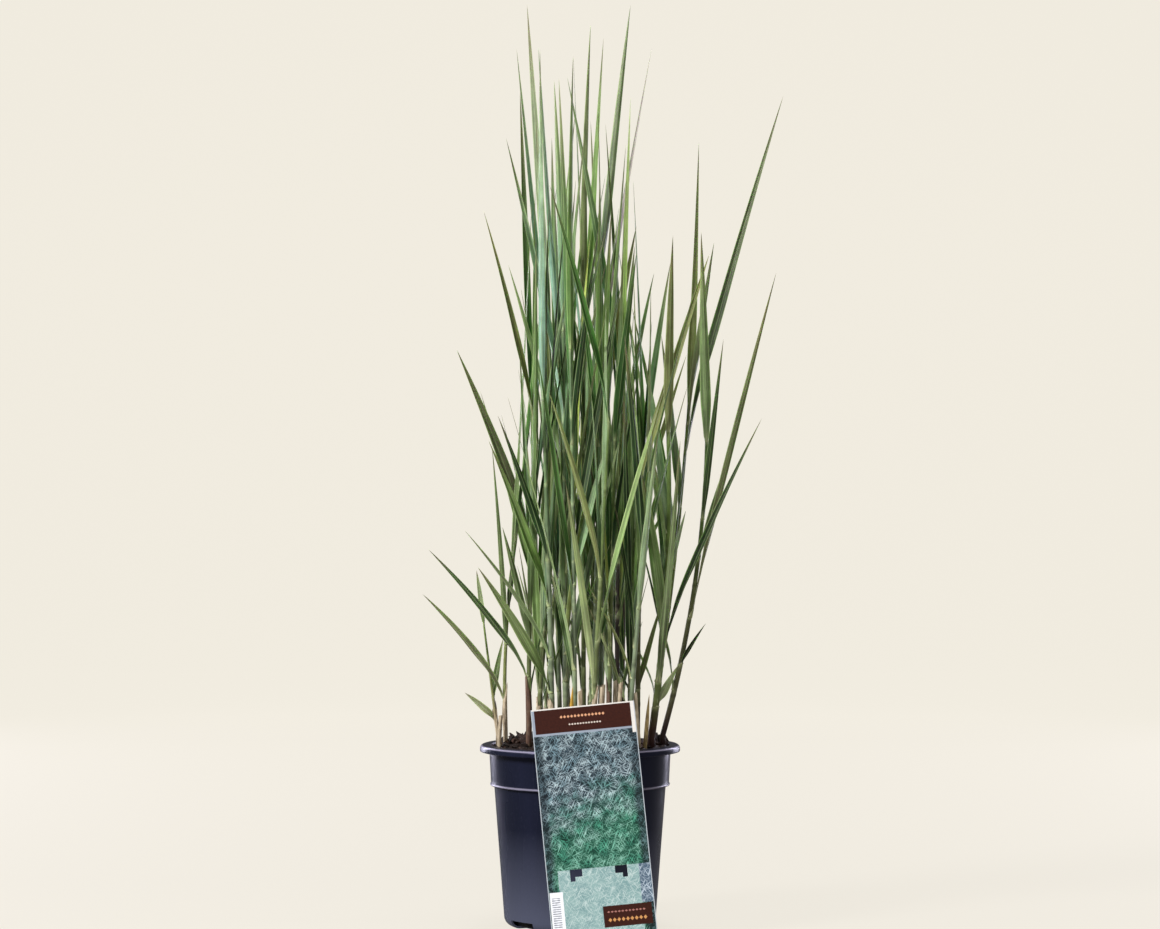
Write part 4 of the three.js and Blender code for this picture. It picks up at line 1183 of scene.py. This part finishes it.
def pot_profile():
    """Radius and height along the pot's section."""
    inner = BASE_CORNER - FLOOR
    corner = (BASE_RADIUS - BASE_CORNER, BASE_CORNER)
    step = BAND_FOOT_HEIGHT - STEP_HEIGHT
    lip = POT_HEIGHT - LIP_HEIGHT
    band = (BAND_FOOT_RADIUS - WALL, BAND_FOOT_HEIGHT + 0.4)
    waist = (WAIST_RADIUS - WALL, step)
    turned_in = BASE_RADIUS - WALL - inner
    return np.vstack([
        # Outside, from the middle of the base up to the lip.
        line((6, 0), (SLOT_INNER_RADIUS, 0), 5),
        line((SLOT_INNER_RADIUS, 0), (corner[0], 0), 3),
        arc(corner, BASE_CORNER, -90, -4, 9),
        line((BASE_RADIUS, BASE_CORNER), (WAIST_RADIUS, step - 0.6), 14),
        arc((WAIST_RADIUS + 0.9, step - 0.5), 0.9, 180, 120, 4),
        arc((BAND_FOOT_RADIUS - 0.1, BAND_FOOT_HEIGHT - 0.6), 1.0, -80, 75, 9),
        line((BAND_FOOT_RADIUS + 0.12, BAND_FOOT_HEIGHT + 0.8), (BAND_RADIUS, lip), 8),
        # The lip: out under it, down inside its hem, up its face and back over the top.
        arc((BAND_RADIUS + 1.6, POT_HEIGHT - 3.4), 1.6, 180, 90, 5),
        line((BAND_RADIUS + 2.4, POT_HEIGHT - 1.7), (RIM_RADIUS - 3.3, POT_HEIGHT - 1.5), 3),
        arc((RIM_RADIUS - 3.2, POT_HEIGHT - 3.2), 1.7, 88, 0, 5),
        line((RIM_RADIUS - 1.5, POT_HEIGHT - 3.5), (RIM_RADIUS - 1.5, lip + 0.9), 2),
        arc((RIM_RADIUS - 0.75, lip + 0.75), 0.75, 180, 360, 7),
        line((RIM_RADIUS, lip + 1.1), (RIM_RADIUS, POT_HEIGHT - 3.3), 3),
        arc((RIM_RADIUS - 3.2, POT_HEIGHT - 3.2), 3.2, 0, 88, 9),
        line((RIM_RADIUS - 3.3, POT_HEIGHT), (BAND_RADIUS + 0.4, POT_HEIGHT - 0.1), 3),
        arc((BAND_RADIUS + 0.1, POT_HEIGHT - 1.4), 1.4, 90, 175, 5),
        # Inside, down to the middle of the floor.
        line((BAND_RADIUS - WALL, POT_HEIGHT - 2.4), band, 8),
        line(band, waist, 3),
        line(waist, (BASE_RADIUS - WALL, BASE_CORNER), 14),
        arc((turned_in, BASE_CORNER), inner, 0, -86, 9),
        line((turned_in, FLOOR), (SLOT_INNER_RADIUS, FLOOR), 3),
        line((SLOT_INNER_RADIUS, FLOOR), (6, FLOOR), 6),
    ])


def pot_part():
    """The turned profile, with its slots."""
    profile = pot_profile()
    count = len(profile)
    level = np.broadcast_to(profile[:, None, 1:], (count, POT_COLUMNS, 1))
    rings = np.concatenate([profile[:, None, :1] * circle(POT_COLUMNS), level], -1)
    length = np.cumsum(np.linalg.norm(np.diff(profile, axis=0), axis=1))
    length = np.concatenate([[0], length]) / 100
    part = skin(rings, way_round(POT_COLUMNS), length, start=[0, 0, 0], end=[0, 0, FLOOR])
    index = np.arange(count * POT_COLUMNS).reshape(-1, POT_COLUMNS)
    # A slot runs from row a to row b of the outside, and from row c to row d of the inside.
    a, d = SLOT_ROW, count - SLOT_ROW - 1
    b, c = a + SLOT_SPAN, d - SLOT_SPAN
    up, down = np.arange(a, b), np.arange(d, c, -1)
    step = 360 / POT_COLUMNS
    keep = np.ones((count - 1, POT_COLUMNS), bool)
    walls = []
    for i in range(SLOT_COUNT):
        left = round((FIRST_SLOT + i * 360 / SLOT_COUNT - SLOT_ANGLE / 2) / step)
        inside = np.arange(left, left + round(SLOT_ANGLE / step)) % POT_COLUMNS
        beside = (inside + 1) % POT_COLUMNS
        keep[a:b, inside] = False
        keep[c:d, inside] = False
        near, far = inside[0], beside[-1]
        walls += [
            (index[up + 1, near], index[up, near], index[down, near], index[down - 1, near]),
            (index[up, far], index[up + 1, far], index[down - 1, far], index[down, far]),
            (index[a, inside], index[a, beside], index[d, beside], index[d, inside]),
            (index[b, beside], index[b, inside], index[c, inside], index[c, beside]),
        ]
    walls = np.vstack([np.stack(corners, -1) for corners in walls])
    # The skin may have turned its faces over, and the walls go the same way.
    turned = part["quads"][0, 0] != index[0, 0]
    quads = part["quads"].reshape(count - 1, POT_COLUMNS, 4)[keep]
    uv = part["quad_uv"].reshape(count - 1, POT_COLUMNS, 4, 2)[keep]
    part["quads"] = np.vstack([quads, walls[:, ::-1] if turned else walls])
    part["quad_uv"] = np.concatenate([uv, np.zeros((len(walls), 4, 2))])
    return part


def pot_material():
    """Moulded black polypropylene: satin, with faint flow streaks, dust, a painted reflection of the floor
    low down and painted highlights.
    """
    pot = Finish("moulded_polypropylene", IOR=1.49, Specular_IOR_Level=0.24, Specular_Tint=rgba("#CFCDF5"))
    flow = pot.noise(pot.moved(pot.space, Scale=(1, 1, 0.12)), 28.0, 3.0)
    dust = pot.ranged(pot.noise(pot.space, 420.0, 5.0), 0.58, 0.75, 0.0, 0.22)
    tone = pot.over(pot.ramp(flow, (0.3, "#10131F"), (0.7, "#191C2E")), "#343646", dust)
    # The lower half is painted paler: a painted reflection of the pale floor.
    height = pot.axis(pot.space, "Z")
    tone = pot.over(tone, "#565A6E", pot.ranged(height, 0.012, 0.085, 0.55, 0.0))
    # The step and the top of the lip carry a pale lilac line: a painted highlight where their rounded edges
    # catch the light.
    for level, reach, share in ((0.1203, 0.0011, 0.5), (0.1523, 0.0009, 0.6)):
        painted_highlight = pot.ranged(pot.distance(height, level), 0.3 * reach, reach, share, 0.0)
        tone = pot.over(tone, "#A29DB4", painted_highlight)
    # Moulding grain of about 0.6 mm, drawn a little coarser than the real one so that it shows.
    grain = pot.noise(pot.space, 1600.0, 2.0)
    rough = pot.ranged(flow, 0.3, 0.7, 0.22, 0.34)
    return pot.finish((grain, 0.00004, 0.35), Base_Color=tone, Roughness=rough)


POT = pot_material()
mesh = make_mesh("nursery_pot", [(POT, [pot_part()])], sharp_angle=50)
add_piece("nursery_pot", mesh, "pot_plastic", "pot")
print("pot of", count_triangles(mesh), "triangles")

# %% [markdown]
# Potting soil is milled peat with bark. From a step away it is a dark, rough mound, and close
# to it is made of loose crumbs and flat chips. So it is a mound raised by many small waves,
# strewn with some hundred crumbs and chips of a few dozen faces each.

# %% Soil
SOIL_EDGE_HEIGHT = 151
SOIL_MOUND = 6
SOIL_COLUMNS = 160
SOIL_ROWS = 56
CRUMBS = 900
CHIPS = 70
CHUNKS = 26
CRUMB_COLOURS = ["#241916", "#18110F", "#33221C", "#1F1614", "#432E24"]

soil_draws = np.random.default_rng(SEED)
WAVES = 60
WAVE_TURN = soil_draws.uniform(0, 2 * math.pi, WAVES)
WAVE_LENGTH = soil_draws.uniform(3.5, 14, WAVES)
WAVE_PHASE = soil_draws.uniform(0, 2 * math.pi, WAVES)


def soil_height(x, y):
    """A low mound, two broad waves, and sixty small ones in all directions."""
    far = np.hypot(x, y) / BAND_FOOT_RADIUS
    broad = np.sin(x * 0.13 + 1.2) * np.cos(y * 0.11 - 0.4) + 0.5 * np.sin(x * 0.23 - y * 0.19)
    reach = x[..., None] * np.cos(WAVE_TURN) + y[..., None] * np.sin(WAVE_TURN)
    small = (np.sin(2 * math.pi * reach / WAVE_LENGTH + WAVE_PHASE) * WAVE_LENGTH).sum(-1) / WAVES
    return SOIL_EDGE_HEIGHT + SOIL_MOUND * (1 - far ** 2) + broad * 1.5 + small * 1.4


def soil_part():
    """The body of soil: the pot's inside, with the mound on top."""
    clear = WALL + GAP
    wall = lerp(BAND_FOOT_RADIUS, BAND_RADIUS, 0.85) - clear
    side = [
        (BASE_RADIUS - BASE_CORNER, FLOOR + GAP), (BASE_RADIUS - clear, BASE_CORNER + FLOOR),
        (WAIST_RADIUS - clear, BAND_FOOT_HEIGHT - STEP_HEIGHT),
        (BAND_FOOT_RADIUS - clear, BAND_FOOT_HEIGHT + 1),
    ]
    ring = circle(SOIL_COLUMNS)
    flat = (wall * np.linspace(1, 0.01, SOIL_ROWS))[:, None, None] * ring
    top = np.concatenate([flat, soil_height(flat[..., 0], flat[..., 1])[..., None]], -1)
    lower = np.array([np.column_stack([r * ring, np.full(SOIL_COLUMNS, z)]) for r, z in side])
    rings = np.concatenate([lower, top])
    height = soil_height(np.zeros(1), np.zeros(1))[0]
    # The mound is brown. Lower down the soil is painted nearly black: painted shade inside the pot, which
    # shows through the drainage slots.
    depth = smoothstep(rings[..., 2], 60, 140)[..., None]
    tone = lerp(colour("#0C0B0E"), colour("#231815"), depth)
    return skin(rings, way_round(SOIL_COLUMNS), np.arange(len(rings)) / 10,
                start=[0, 0, FLOOR + GAP], end=[0, 0, height], tone=tone)


def ball():
    """A ball of 20 faces cut once: 42 points and 80 triangles."""
    shape = bmesh.new()
    bmesh.ops.create_icosphere(shape, subdivisions=2, radius=1)
    points = np.array([v.co[:] for v in shape.verts])
    tris = np.array([[v.index for v in f.verts] for f in shape.faces])
    shape.free()
    return points, tris


BALL_POINTS, BALL_TRIS = ball()


def scattered(count, sizes, flatness, sink, palette, reach, tipped=0.45, centre=0, heap=None):
    """Many uneven balls on the soil: each is stretched, dented and turned, then set on the mound.

    Sizes are in millimetres, flatness is the range of height over size, and sink is the share
    that goes under. They lie within the reach of the middle, or of the heap.
    """
    n = len(BALL_POINTS)
    r = lerp(centre, 1, np.sqrt(soil_draws.uniform(0, 1, count))) * reach
    a = soil_draws.uniform(0, 2 * math.pi, count)
    x, y = r * np.cos(a), r * np.sin(a)
    if heap:
        x, y = heap[0] + x, heap[1] + y
    size = sizes[0] + (sizes[1] - sizes[0]) * soil_draws.uniform(0, 1, count) ** 2
    width, height = soil_draws.uniform(0.5, 0.9, count), soil_draws.uniform(*flatness, count)
    stretch = np.stack([size, size * width, size * height], -1)
    dents = 1 + 0.22 * soil_draws.standard_normal((count, n, 1)).clip(-1.6, 1.6)
    shape = BALL_POINTS * dents * stretch[:, None] / 2
    if heap:
        # Splintered bark: each piece narrows to a point.
        shape[..., :2] *= lerp(1.2, 0.35, np.clip(BALL_POINTS[None, :, 2:] / 2 + 0.5, 0, 1))
    spin = soil_draws.uniform(0, 2 * math.pi, count)
    tilt = soil_draws.normal(0, tipped, count)
    cos, sin, tc, ts = np.cos(spin), np.sin(spin), np.cos(tilt), np.sin(tilt)
    zero = np.zeros(count)
    turn = np.array([[cos, -sin * tc, sin * ts], [sin, cos * tc, -cos * ts], [zero, ts, tc]])
    z = soil_height(x, y) + stretch[:, 2] / 2 * (1 - sink)
    points = np.einsum("ijn,nkj->nki", turn, shape) + np.stack([x, y, z], -1)[:, None]
    tris = BALL_TRIS[None] + (np.arange(count) * n)[:, None, None]
    shades = np.array([colour(code) for code in palette])[soil_draws.integers(0, len(palette), count)]
    shades = shades * soil_draws.uniform(0.7, 1.25, (count, 1))
    points, tris = points.reshape(-1, 3), tris.reshape(-1, 3)
    return new_part(points, tris=tris, tri_uv=np.zeros((len(tris), 3, 2)), tone=np.repeat(shades, n, 0))


def soil_material():
    """Moist milled peat and bark: dark, rough, with a faint wet glint on the lumps."""
    peat = Finish("peat_and_bark", IOR=1.4, Specular_IOR_Level=0.35)
    # Peat fibres and grains of about 1 mm.
    grains = peat.noise(peat.space, 900.0, 4.0)
    tone = peat.shaded(peat.own("tone"), peat.ranged(grains, 0.3, 0.7, 0.45, 1.6))
    rough = peat.ranged(peat.noise(peat.space, 120.0, 2.0), 0.35, 0.65, 0.45, 0.95)
    return peat.finish((grains, 0.0006, 0.7), Base_Color=tone, Roughness=rough)


PEAT = soil_material()
mound = [
    soil_part(),
    scattered(CRUMBS, (1.2, 5.0), (0.4, 0.8), 0.35, CRUMB_COLOURS, 71),
    scattered(CHIPS, (5.0, 12.0), (0.2, 0.4), 0.1, ["#2E1F1A", "#1F1513", "#44302A"], 66),
    scattered(CHUNKS, (8.0, 15.0), (0.35, 0.7), 0.3, ["#231713", "#33221C"], 65, tipped=0.8, centre=0.7),
    # Splintered bark lies in two heaps.
    scattered(30, (7.0, 12.0), (0.6, 1.5), 0.4, ["#1C1413", "#2C1E1A"], 16, tipped=0.7, heap=(-50, 4)),
    scattered(14, (7.0, 11.0), (0.8, 1.5), 0.2, ["#1E1515", "#2E1F1D"], 9, tipped=0.7, heap=(67, 0)),
]
mesh = make_mesh("potting_soil", [(PEAT, mound)], sharp_angle=38)
add_piece("potting_soil", mesh, "soil", "soil")
print("soil of", count_triangles(mesh), "triangles")

# %% [markdown]
# Last year's stems were cut a few centimetres above the soil. What stays is a hollow straw
# tube with a ragged, darker rim. Its wall is a ring profile carried up its axis, out over the
# cut and a short way down inside.

# %% Straw stubs


def stub_skin(stub, seed):
    """A tube up to a ragged slanting cut, turned in over it and down inside to a floor."""
    foot, top = stub_axis(stub)
    radius = stub[4]
    columns = 24
    ring = circle(columns)
    rag = np.random.default_rng(seed).uniform(-1.6, 0, 8)
    rag = np.interp(np.arange(columns), np.arange(0, columns + 1, 3), np.append(rag, rag[0]))
    slant = 0.5 * radius * ring[:, 0] + rag
    # Each row: share of the way up, radius over the stub's own, share of the ragged cut, and drop.
    rows = [
        (0, 1.0, 0, 26), (0, 1.0, 0, 0), (0.3, 0.97, 0, 0), (0.32, 1.1, 0, 0), (0.36, 0.98, 0, 0),
        (0.7, 0.96, 0.3, 0), (1, 0.98, 1, 0.3), (1, 0.9, 1, 0), (1, 0.72, 1, 0.1), (1, 0.68, 1, 1.2),
        (1, 0.66, 0.4, 5),
    ]
    rings = []
    for share, wide, ragged, drop in rows:
        centre = lerp(foot, top, share)
        height = centre[2] - drop + ragged * slant
        rings.append(np.column_stack([centre[:2] + wide * radius * ring, height]))
    rings = np.array(rings)
    rings[0, :, 2] = HOLE_FLOOR + 1
    return skin(rings, way_round(columns), np.arange(len(rings)) / 10,
                start=rings[0].mean(0), end=rings[-1].mean(0))


for i, stub in enumerate(STUBS):
    mesh = make_mesh(f"straw_stub_{i + 1:02d}", [(STRAW, [stub_skin(stub, SEED + i)])], sharp_angle=60)
    add_piece(mesh.name, mesh, "straw", f"stub_{i + 1:02d}")
print(len(STUBS), "stubs")

# %% [markdown]
# Two dead leaves still stand at the base. A dead leaf has lost its green and rolls up along its
# length, so it is the blade's own surface with a tighter arc.

# %% Dead leaves
DEAD_THICKNESS = 0.14       # of each half, above and below the middle


def dead_skin(blade, curl):
    """A blade whose section rolls to an arc of the curl given, over its whole length."""
    t = np.linspace(0, 0.97, 26)
    centre, tangent, side, half = blade_frames(blade, t)
    half = np.maximum(half, 0.3)[:, None]
    up = np.cross(tangent, side)
    bend = curl / half * (0.6 + 0.4 * np.sin(5 * t))[:, None]
    s = np.linspace(-1, 1, 9)[None]
    angle = s * half * bend
    sideways, rise = np.sin(angle) / bend, (1 - np.cos(angle)) / bend
    rise = rise + 0.35 * np.sin(9 * t)[:, None] * abs(s)
    rings = ribbon(centre, side, up, sideways, rise, angle, DEAD_THICKNESS, DEAD_THICKNESS)
    return skin(rings, there_and_back(s[0]), t, start=rings[0].mean(0), end=blade["tip"])


DEAD_LOOKS = [
    # material and curl
    (straw_material("yellowed_leaf", "#DDB24E", "#B07F30", 0.6), 0.5),
    (straw_material("bleached_leaf", "#C2AC78", "#85704C", 0.7), 1.6),
]
for i, (material, curl) in enumerate(DEAD_LOOKS):
    leaf = dead_leaf(*DEAD_LEAVES[i])
    mesh = make_mesh(f"dead_leaf_fine_{i + 1:02d}", [(material, [dead_skin(leaf, curl)])])
    add_piece(mesh.name, mesh, "dead_leaf", f"dead_leaf_{i + 1:02d}")
print(len(DEAD_LEAVES), "dead leaves")

# %% [markdown]
# The card is die cut from printed polypropylene sheet. It is a plate of cells with the two hook
# slots left out, and walls close it wherever a kept cell meets a missing one.

# %% Card
CARD_THICKNESS = 0.6
HOOK_WIDTH, HOOK_BAR, HOOK_LEG, HOOK_DROP, HOOK_LEVEL, HOOK_MARGIN = 10, 6.2, 4, 3.6, 52.7, 19.5


def card_part():
    """A plate of cells between grid lines, without the cells in the hooks."""
    left, right = HOOK_MARGIN, LABEL_WIDTH - HOOK_MARGIN - HOOK_WIDTH
    u = np.unique(np.concatenate([
        np.linspace(0, LABEL_WIDTH, 23),
        [left, left + HOOK_LEG, left + HOOK_WIDTH, right, right + HOOK_WIDTH - HOOK_LEG, right + HOOK_WIDTH],
    ]))
    v = np.unique(np.concatenate([
        np.linspace(0, LABEL_HEIGHT, 49), [HOOK_LEVEL - HOOK_DROP, HOOK_LEVEL, HOOK_LEVEL + HOOK_BAR],
    ]))
    cu, cv = ((u[:-1] + u[1:]) / 2)[None], ((v[:-1] + v[1:]) / 2)[:, None]
    bar = (cv > HOOK_LEVEL) & (cv < HOOK_LEVEL + HOOK_BAR)
    leg = (cv > HOOK_LEVEL - HOOK_DROP) & (cv < HOOK_LEVEL)
    hooks = bar & (cu > left) & (cu < left + HOOK_WIDTH) | leg & (cu > left) & (cu < left + HOOK_LEG)
    hooks |= bar & (cu > right) & (cu < right + HOOK_WIDTH)
    hooks |= leg & (cu > right + HOOK_WIDTH - HOOK_LEG) & (cu < right + HOOK_WIDTH)
    keep = ~hooks
    rows, columns = len(v), len(u)
    grid_u, grid_v = np.meshgrid(u, v)
    lift = (LABEL_THICKNESS - CARD_THICKNESS) / 2
    back = label_point(grid_u, grid_v, lift).reshape(-1, 3)
    front = label_point(grid_u, grid_v, lift + CARD_THICKNESS).reshape(-1, 3)
    index = np.arange(rows * columns).reshape(rows, columns)
    over = rows * columns
    cell = np.stack([index[:-1, :-1], index[:-1, 1:], index[1:, 1:], index[1:, :-1]], -1)
    quads = [cell[keep] + over, cell[keep][:, ::-1]]
    padded = np.pad(keep, 1)
    for edge, (du, dv) in zip(((0, 1), (1, 2), (2, 3), (3, 0)), ((0, -1), (1, 0), (0, 1), (-1, 0))):
        open_side = keep & ~padded[1 + dv:rows + dv, 1 + du:columns + du]
        a, b = cell[open_side][:, edge[0]], cell[open_side][:, edge[1]]
        quads.append(np.stack([a, b, b + over, a + over], -1))
    quads = np.vstack(quads)
    points = np.vstack([back, front])
    place = np.column_stack([grid_u.ravel(), grid_v.ravel()]) / 100
    used, quads = np.unique(quads, return_inverse=True)
    quads = quads.reshape(-1, 4)
    uv = np.vstack([place, place])[used][quads]
    side = (np.arange(2 * over) >= over).astype(float)[used]
    return facing_out(new_part(points[used], quads, uv, printed=side))


def card_material():
    """Printed polypropylene sheet with a satin face: crossing strokes in slate, green and mint."""
    card = Finish("printed_sheet", Roughness=0.33, IOR=1.49, Specular_IOR_Level=0.4)
    maths, times, ranged, ramp, over = card.maths, card.times, card.ranged, card.ramp, card.over
    u, v = card.axis(card.surface, "X"), card.axis(card.surface, "Y")

    def area(u0, u1, v0, v1):
        """A mask over a rectangle, in millimetres from the lower left corner."""
        across = times(maths("GREATER_THAN", u, u0 / 100), maths("LESS_THAN", u, u1 / 100))
        return times(across, maths("GREATER_THAN", v, v0 / 100), maths("LESS_THAN", v, v1 / 100))

    def noise(size, detail, shift=0.0):
        return card.noise(card.moved(card.surface, Location=(shift, shift, 0)), size, detail)

    def strokes(share, angle, wide, long, low, high, shift):
        """Brush strokes in one direction, a width and a length in millimetres."""
        turned = card.moved(card.surface, Rotation=(0, 0, math.radians(angle)), Location=(shift, 0, 0))
        field = card.noise(card.moved(turned, Scale=(100 / wide, 100 / long, 1)), 1.0, 2.0, 0.35)
        return times(ranged(field, low, high, 0.0, 1.0), share)

    def zoned(low, high, blue, green):
        """A ramp of its own in each of the two zones, between two hex codes."""
        blue, green = (ramp(haze, (low, dark), (high, light)) for dark, light in (blue, green))
        return over(blue, green, low_zone)

    haze = noise(9, 4)
    # Short strokes cross like frost on a pane, and they are denser in some places than in others.
    lines = strokes(1.0, 28, 0.75, 9, 0.56, 0.62, 1.7)
    lines = maths("MAXIMUM", lines, strokes(0.9, -33, 0.75, 8, 0.57, 0.63, 4.2))
    lines = maths("MAXIMUM", lines, strokes(0.85, 66, 0.65, 10, 0.57, 0.63, 7.9))
    lines = maths("MAXIMUM", lines, strokes(0.8, -71, 0.65, 7, 0.58, 0.64, 2.6))
    lines = times(lines, ranged(noise(14, 3, 2.0), 0.3, 0.6, 0.5, 1.0))
    # The zones run slantwise: slate blue, then green.
    slant = maths("SUBTRACT", v, times(u, 0.4))
    slant = maths("ADD", slant, times(maths("SUBTRACT", haze, 0.5), 0.8))
    low_zone = ranged(slant, 0.68, 1.12, 1.0, 0.0)
    ground = zoned(0.35, 0.65, ("#0F161D", "#253541"), ("#092822", "#1B5540"))
    marks = zoned(0.4, 0.6, ("#809EAB", "#C0D3DA"), ("#509D83", "#92C6B5"))
    field = over(ground, marks, times(lines, 0.95))
    # A darker border on both sides.
    wavering = times(maths("SUBTRACT", noise(6, 3, 5.0), 0.5), 0.09)
    side = card.distance(maths("ADD", u, wavering), 0.43)
    border = ramp(lines, (0.2, "#10161D"), (0.9, "#4A5E68"))
    field = over(field, border, ranged(side, 0.34, 0.38, 0.0, 0.85))
    # The lower panel is pale, with the same strokes in faint tints.
    faint = over(ramp(haze, (0.4, "#719294"), (0.6, "#84A2A2")), "#C3D2D1", times(lines, 0.75))
    field = over(field, faint, area(9.5, 76, -1, 58.8))
    field = over(field, ramp(lines, (0.2, "#46596C"), (0.9, "#B4C2CF")), area(76, 90, 27, 58.8))
    # A bare white patch with a row of plain bars.
    field = over(field, "#E1E3EA", area(1.2, 12, -1, 41.5))
    wave = maths("SINE", times(v, 2 * math.pi * 55))
    bars = maths("GREATER_THAN", wave, ranged(noise(40, 0), 0.3, 0.7, -0.4, 0.7))
    field = over(field, "#8A8C98", times(bars, area(2.6, 9.4, -1, 37)))
    # The head band and the tag are brown, with a row of lozenges and a rule.
    brown = ramp(noise(60, 4), (0.3, "#2E120D"), (0.7, "#3C1A12"))
    for tone, place in (
        ("#8E97A6", (-1, 90, 170.6, 198)), ("#D9D4D0", (82.4, 90, 167, 198)),
        ("#D9D4D0", (-1, 90, 192.1, 198)), (brown, (2.6, 82.4, 172.4, 192.1)),
        (brown, (43.5, 83.3, 9.3, 26.6)),
    ):
        field = over(field, tone, area(*place))
    for left, right, level, pitch, tall, code in (
        (23.2, 60.9, 185.2, 2.9, 1.3, "#D39C78"), (29.9, 57.5, 178.6, 2.3, 0.9, "#CFC3BA"),
        (46.4, 78.3, 21.6, 2.9, 0.9, "#9C6A62"), (46.8, 79.2, 15.0, 3.6, 1.7, "#C08A55"),
    ):
        along = card.distance(maths("FRACT", times(u, 100 / pitch)), 0.5)
        up = times(card.distance(v, level / 100), 100 / tall)
        lozenge = maths("LESS_THAN", maths("ADD", times(along, 2.4), up), 1.0)
        field = over(field, code, times(lozenge, area(left, right, level - 3, level + 3)))
    # The cut edges are painted pale: a painted highlight where they catch the light.
    field = over(field, "#A9B0B8", area(-1, 0.7, -1, 198))
    field = over(field, "#A9B0B8", area(85.3, 90, -1, 198))
    return card.finish(Base_Color=over("#D9DAD6", field, card.own("printed", "Fac")))


PRINT = card_material()
mesh = make_mesh("plant_card", [(PRINT, [card_part()])], sharp_angle=30)
add_piece("plant_card", mesh, "label_card", "label")
print("card of", count_triangles(mesh), "triangles")

# %% [markdown]
# The studio is a pale sweep: a floor that curves up into a wall, so no line shows behind the
# plant. Big soft lamps stand in front and to both sides. The two at the back give the pot the
# pale streaks along its edges.

# %% Studio


def sweep():
    """A floor, a quarter circle and a wall, carried from left to right."""
    bend = arc((3.5, 0.8), 0.8, -90, 0, 24)
    profile = np.vstack([[-4.0, 0], [0, 0], bend, [4.3, 6]])
    x = np.array([-6.0, 6.0])
    points = np.array([[[a, y, z] for a in x] for y, z in profile]).reshape(-1, 3)
    index = np.arange(len(points)).reshape(-1, 2)
    faces = np.stack([index[:-1, 0], index[:-1, 1], index[1:, 1], index[1:, 0]], -1)
    made = bpy.data.meshes.new("studio_sweep")
    made.from_pydata(points.tolist(), [], faces.tolist())
    made.polygons.foreach_set("use_smooth", np.ones(len(faces), bool))
    paper = Finish(
        "studio_paper", Roughness=0.9, Base_Color=rgba("#3A3835"), Specular_IOR_Level=0.1,
        Emission_Color=rgba("#F2EDE1"),
    )
    # The paper glows evenly behind the plant and falls off to both sides and to the front.
    aside = paper.distance(paper.axis(paper.space, "X"), 0.0)
    depth = paper.axis(paper.space, "Y")
    glow = paper.times(
        paper.ranged(aside, 1.3, 2.6, 1.0, 0.12),
        paper.ranged(depth, -1.8, -0.2, 0.3, 1.0),
        paper.ranged(depth, 0.3, 1.9, 0.912, 0.97),
        paper.ranged(depth, 1.95, 2.4, 1.0, 1.031),
        0.955,
    )
    made.materials.append(paper.finish(Emission_Strength=glow))
    return made


floor = bpy.data.objects.new("studio_sweep", sweep())
bpy.context.scene.collection.objects.link(floor)
floor.visible_glossy = False        # a glowing floor would mirror in the pot

LAMPS = {
    # name: place, aimed at, width, height, watts
    "key": ((-1.9, -1.5, 1.6), (0, 0, 0.4), 0.6, 0.7, 106),
    "fill": ((2.3, -1.3, 0.9), (0, 0, 0.35), 0.7, 1.2, 6),
    "top": ((0.2, 0.1, 2.4), (0, 0, 0.4), 0.8, 0.8, 44),
    "strip": ((0, -1.3, 2.1), (0, 0, 0.15), 2.2, 0.25, 7),
    "edge_left": ((-1.35, 1.95, 0.6), (0, 0, 0.12), 0.42, 1.4, 28),
    "edge_right": ((1.35, 1.95, 0.6), (0, 0, 0.12), 0.42, 1.4, 25),
}
for name, (place, target, width, height, watts) in LAMPS.items():
    lamp = bpy.data.lights.new(name, "AREA")
    if name.startswith("edge"):
        lamp.color = rgba("#E4E2F8")[:3]
    lamp.shape, lamp.size, lamp.size_y, lamp.energy = "RECTANGLE", width, height, watts
    holder = bpy.data.objects.new(name, lamp)
    holder.location = place
    holder.visible_camera = False
    holder.visible_glossy = name != "fill"
    holder.rotation_euler = (Vector(target) - Vector(place)).to_track_quat("-Z", "Y").to_euler()
    bpy.context.scene.collection.objects.link(holder)

world = bpy.data.worlds.new("studio")
world.use_nodes = True
world.node_tree.nodes["Background"].inputs["Color"].default_value = rgba("#F4F1E6")
world.node_tree.nodes["Background"].inputs["Strength"].default_value = 0.15
bpy.context.scene.world = world
bpy.context.scene.view_settings.view_transform = "Standard"
bpy.context.scene.view_settings.look = "None"
print(len(LAMPS), "lamps")
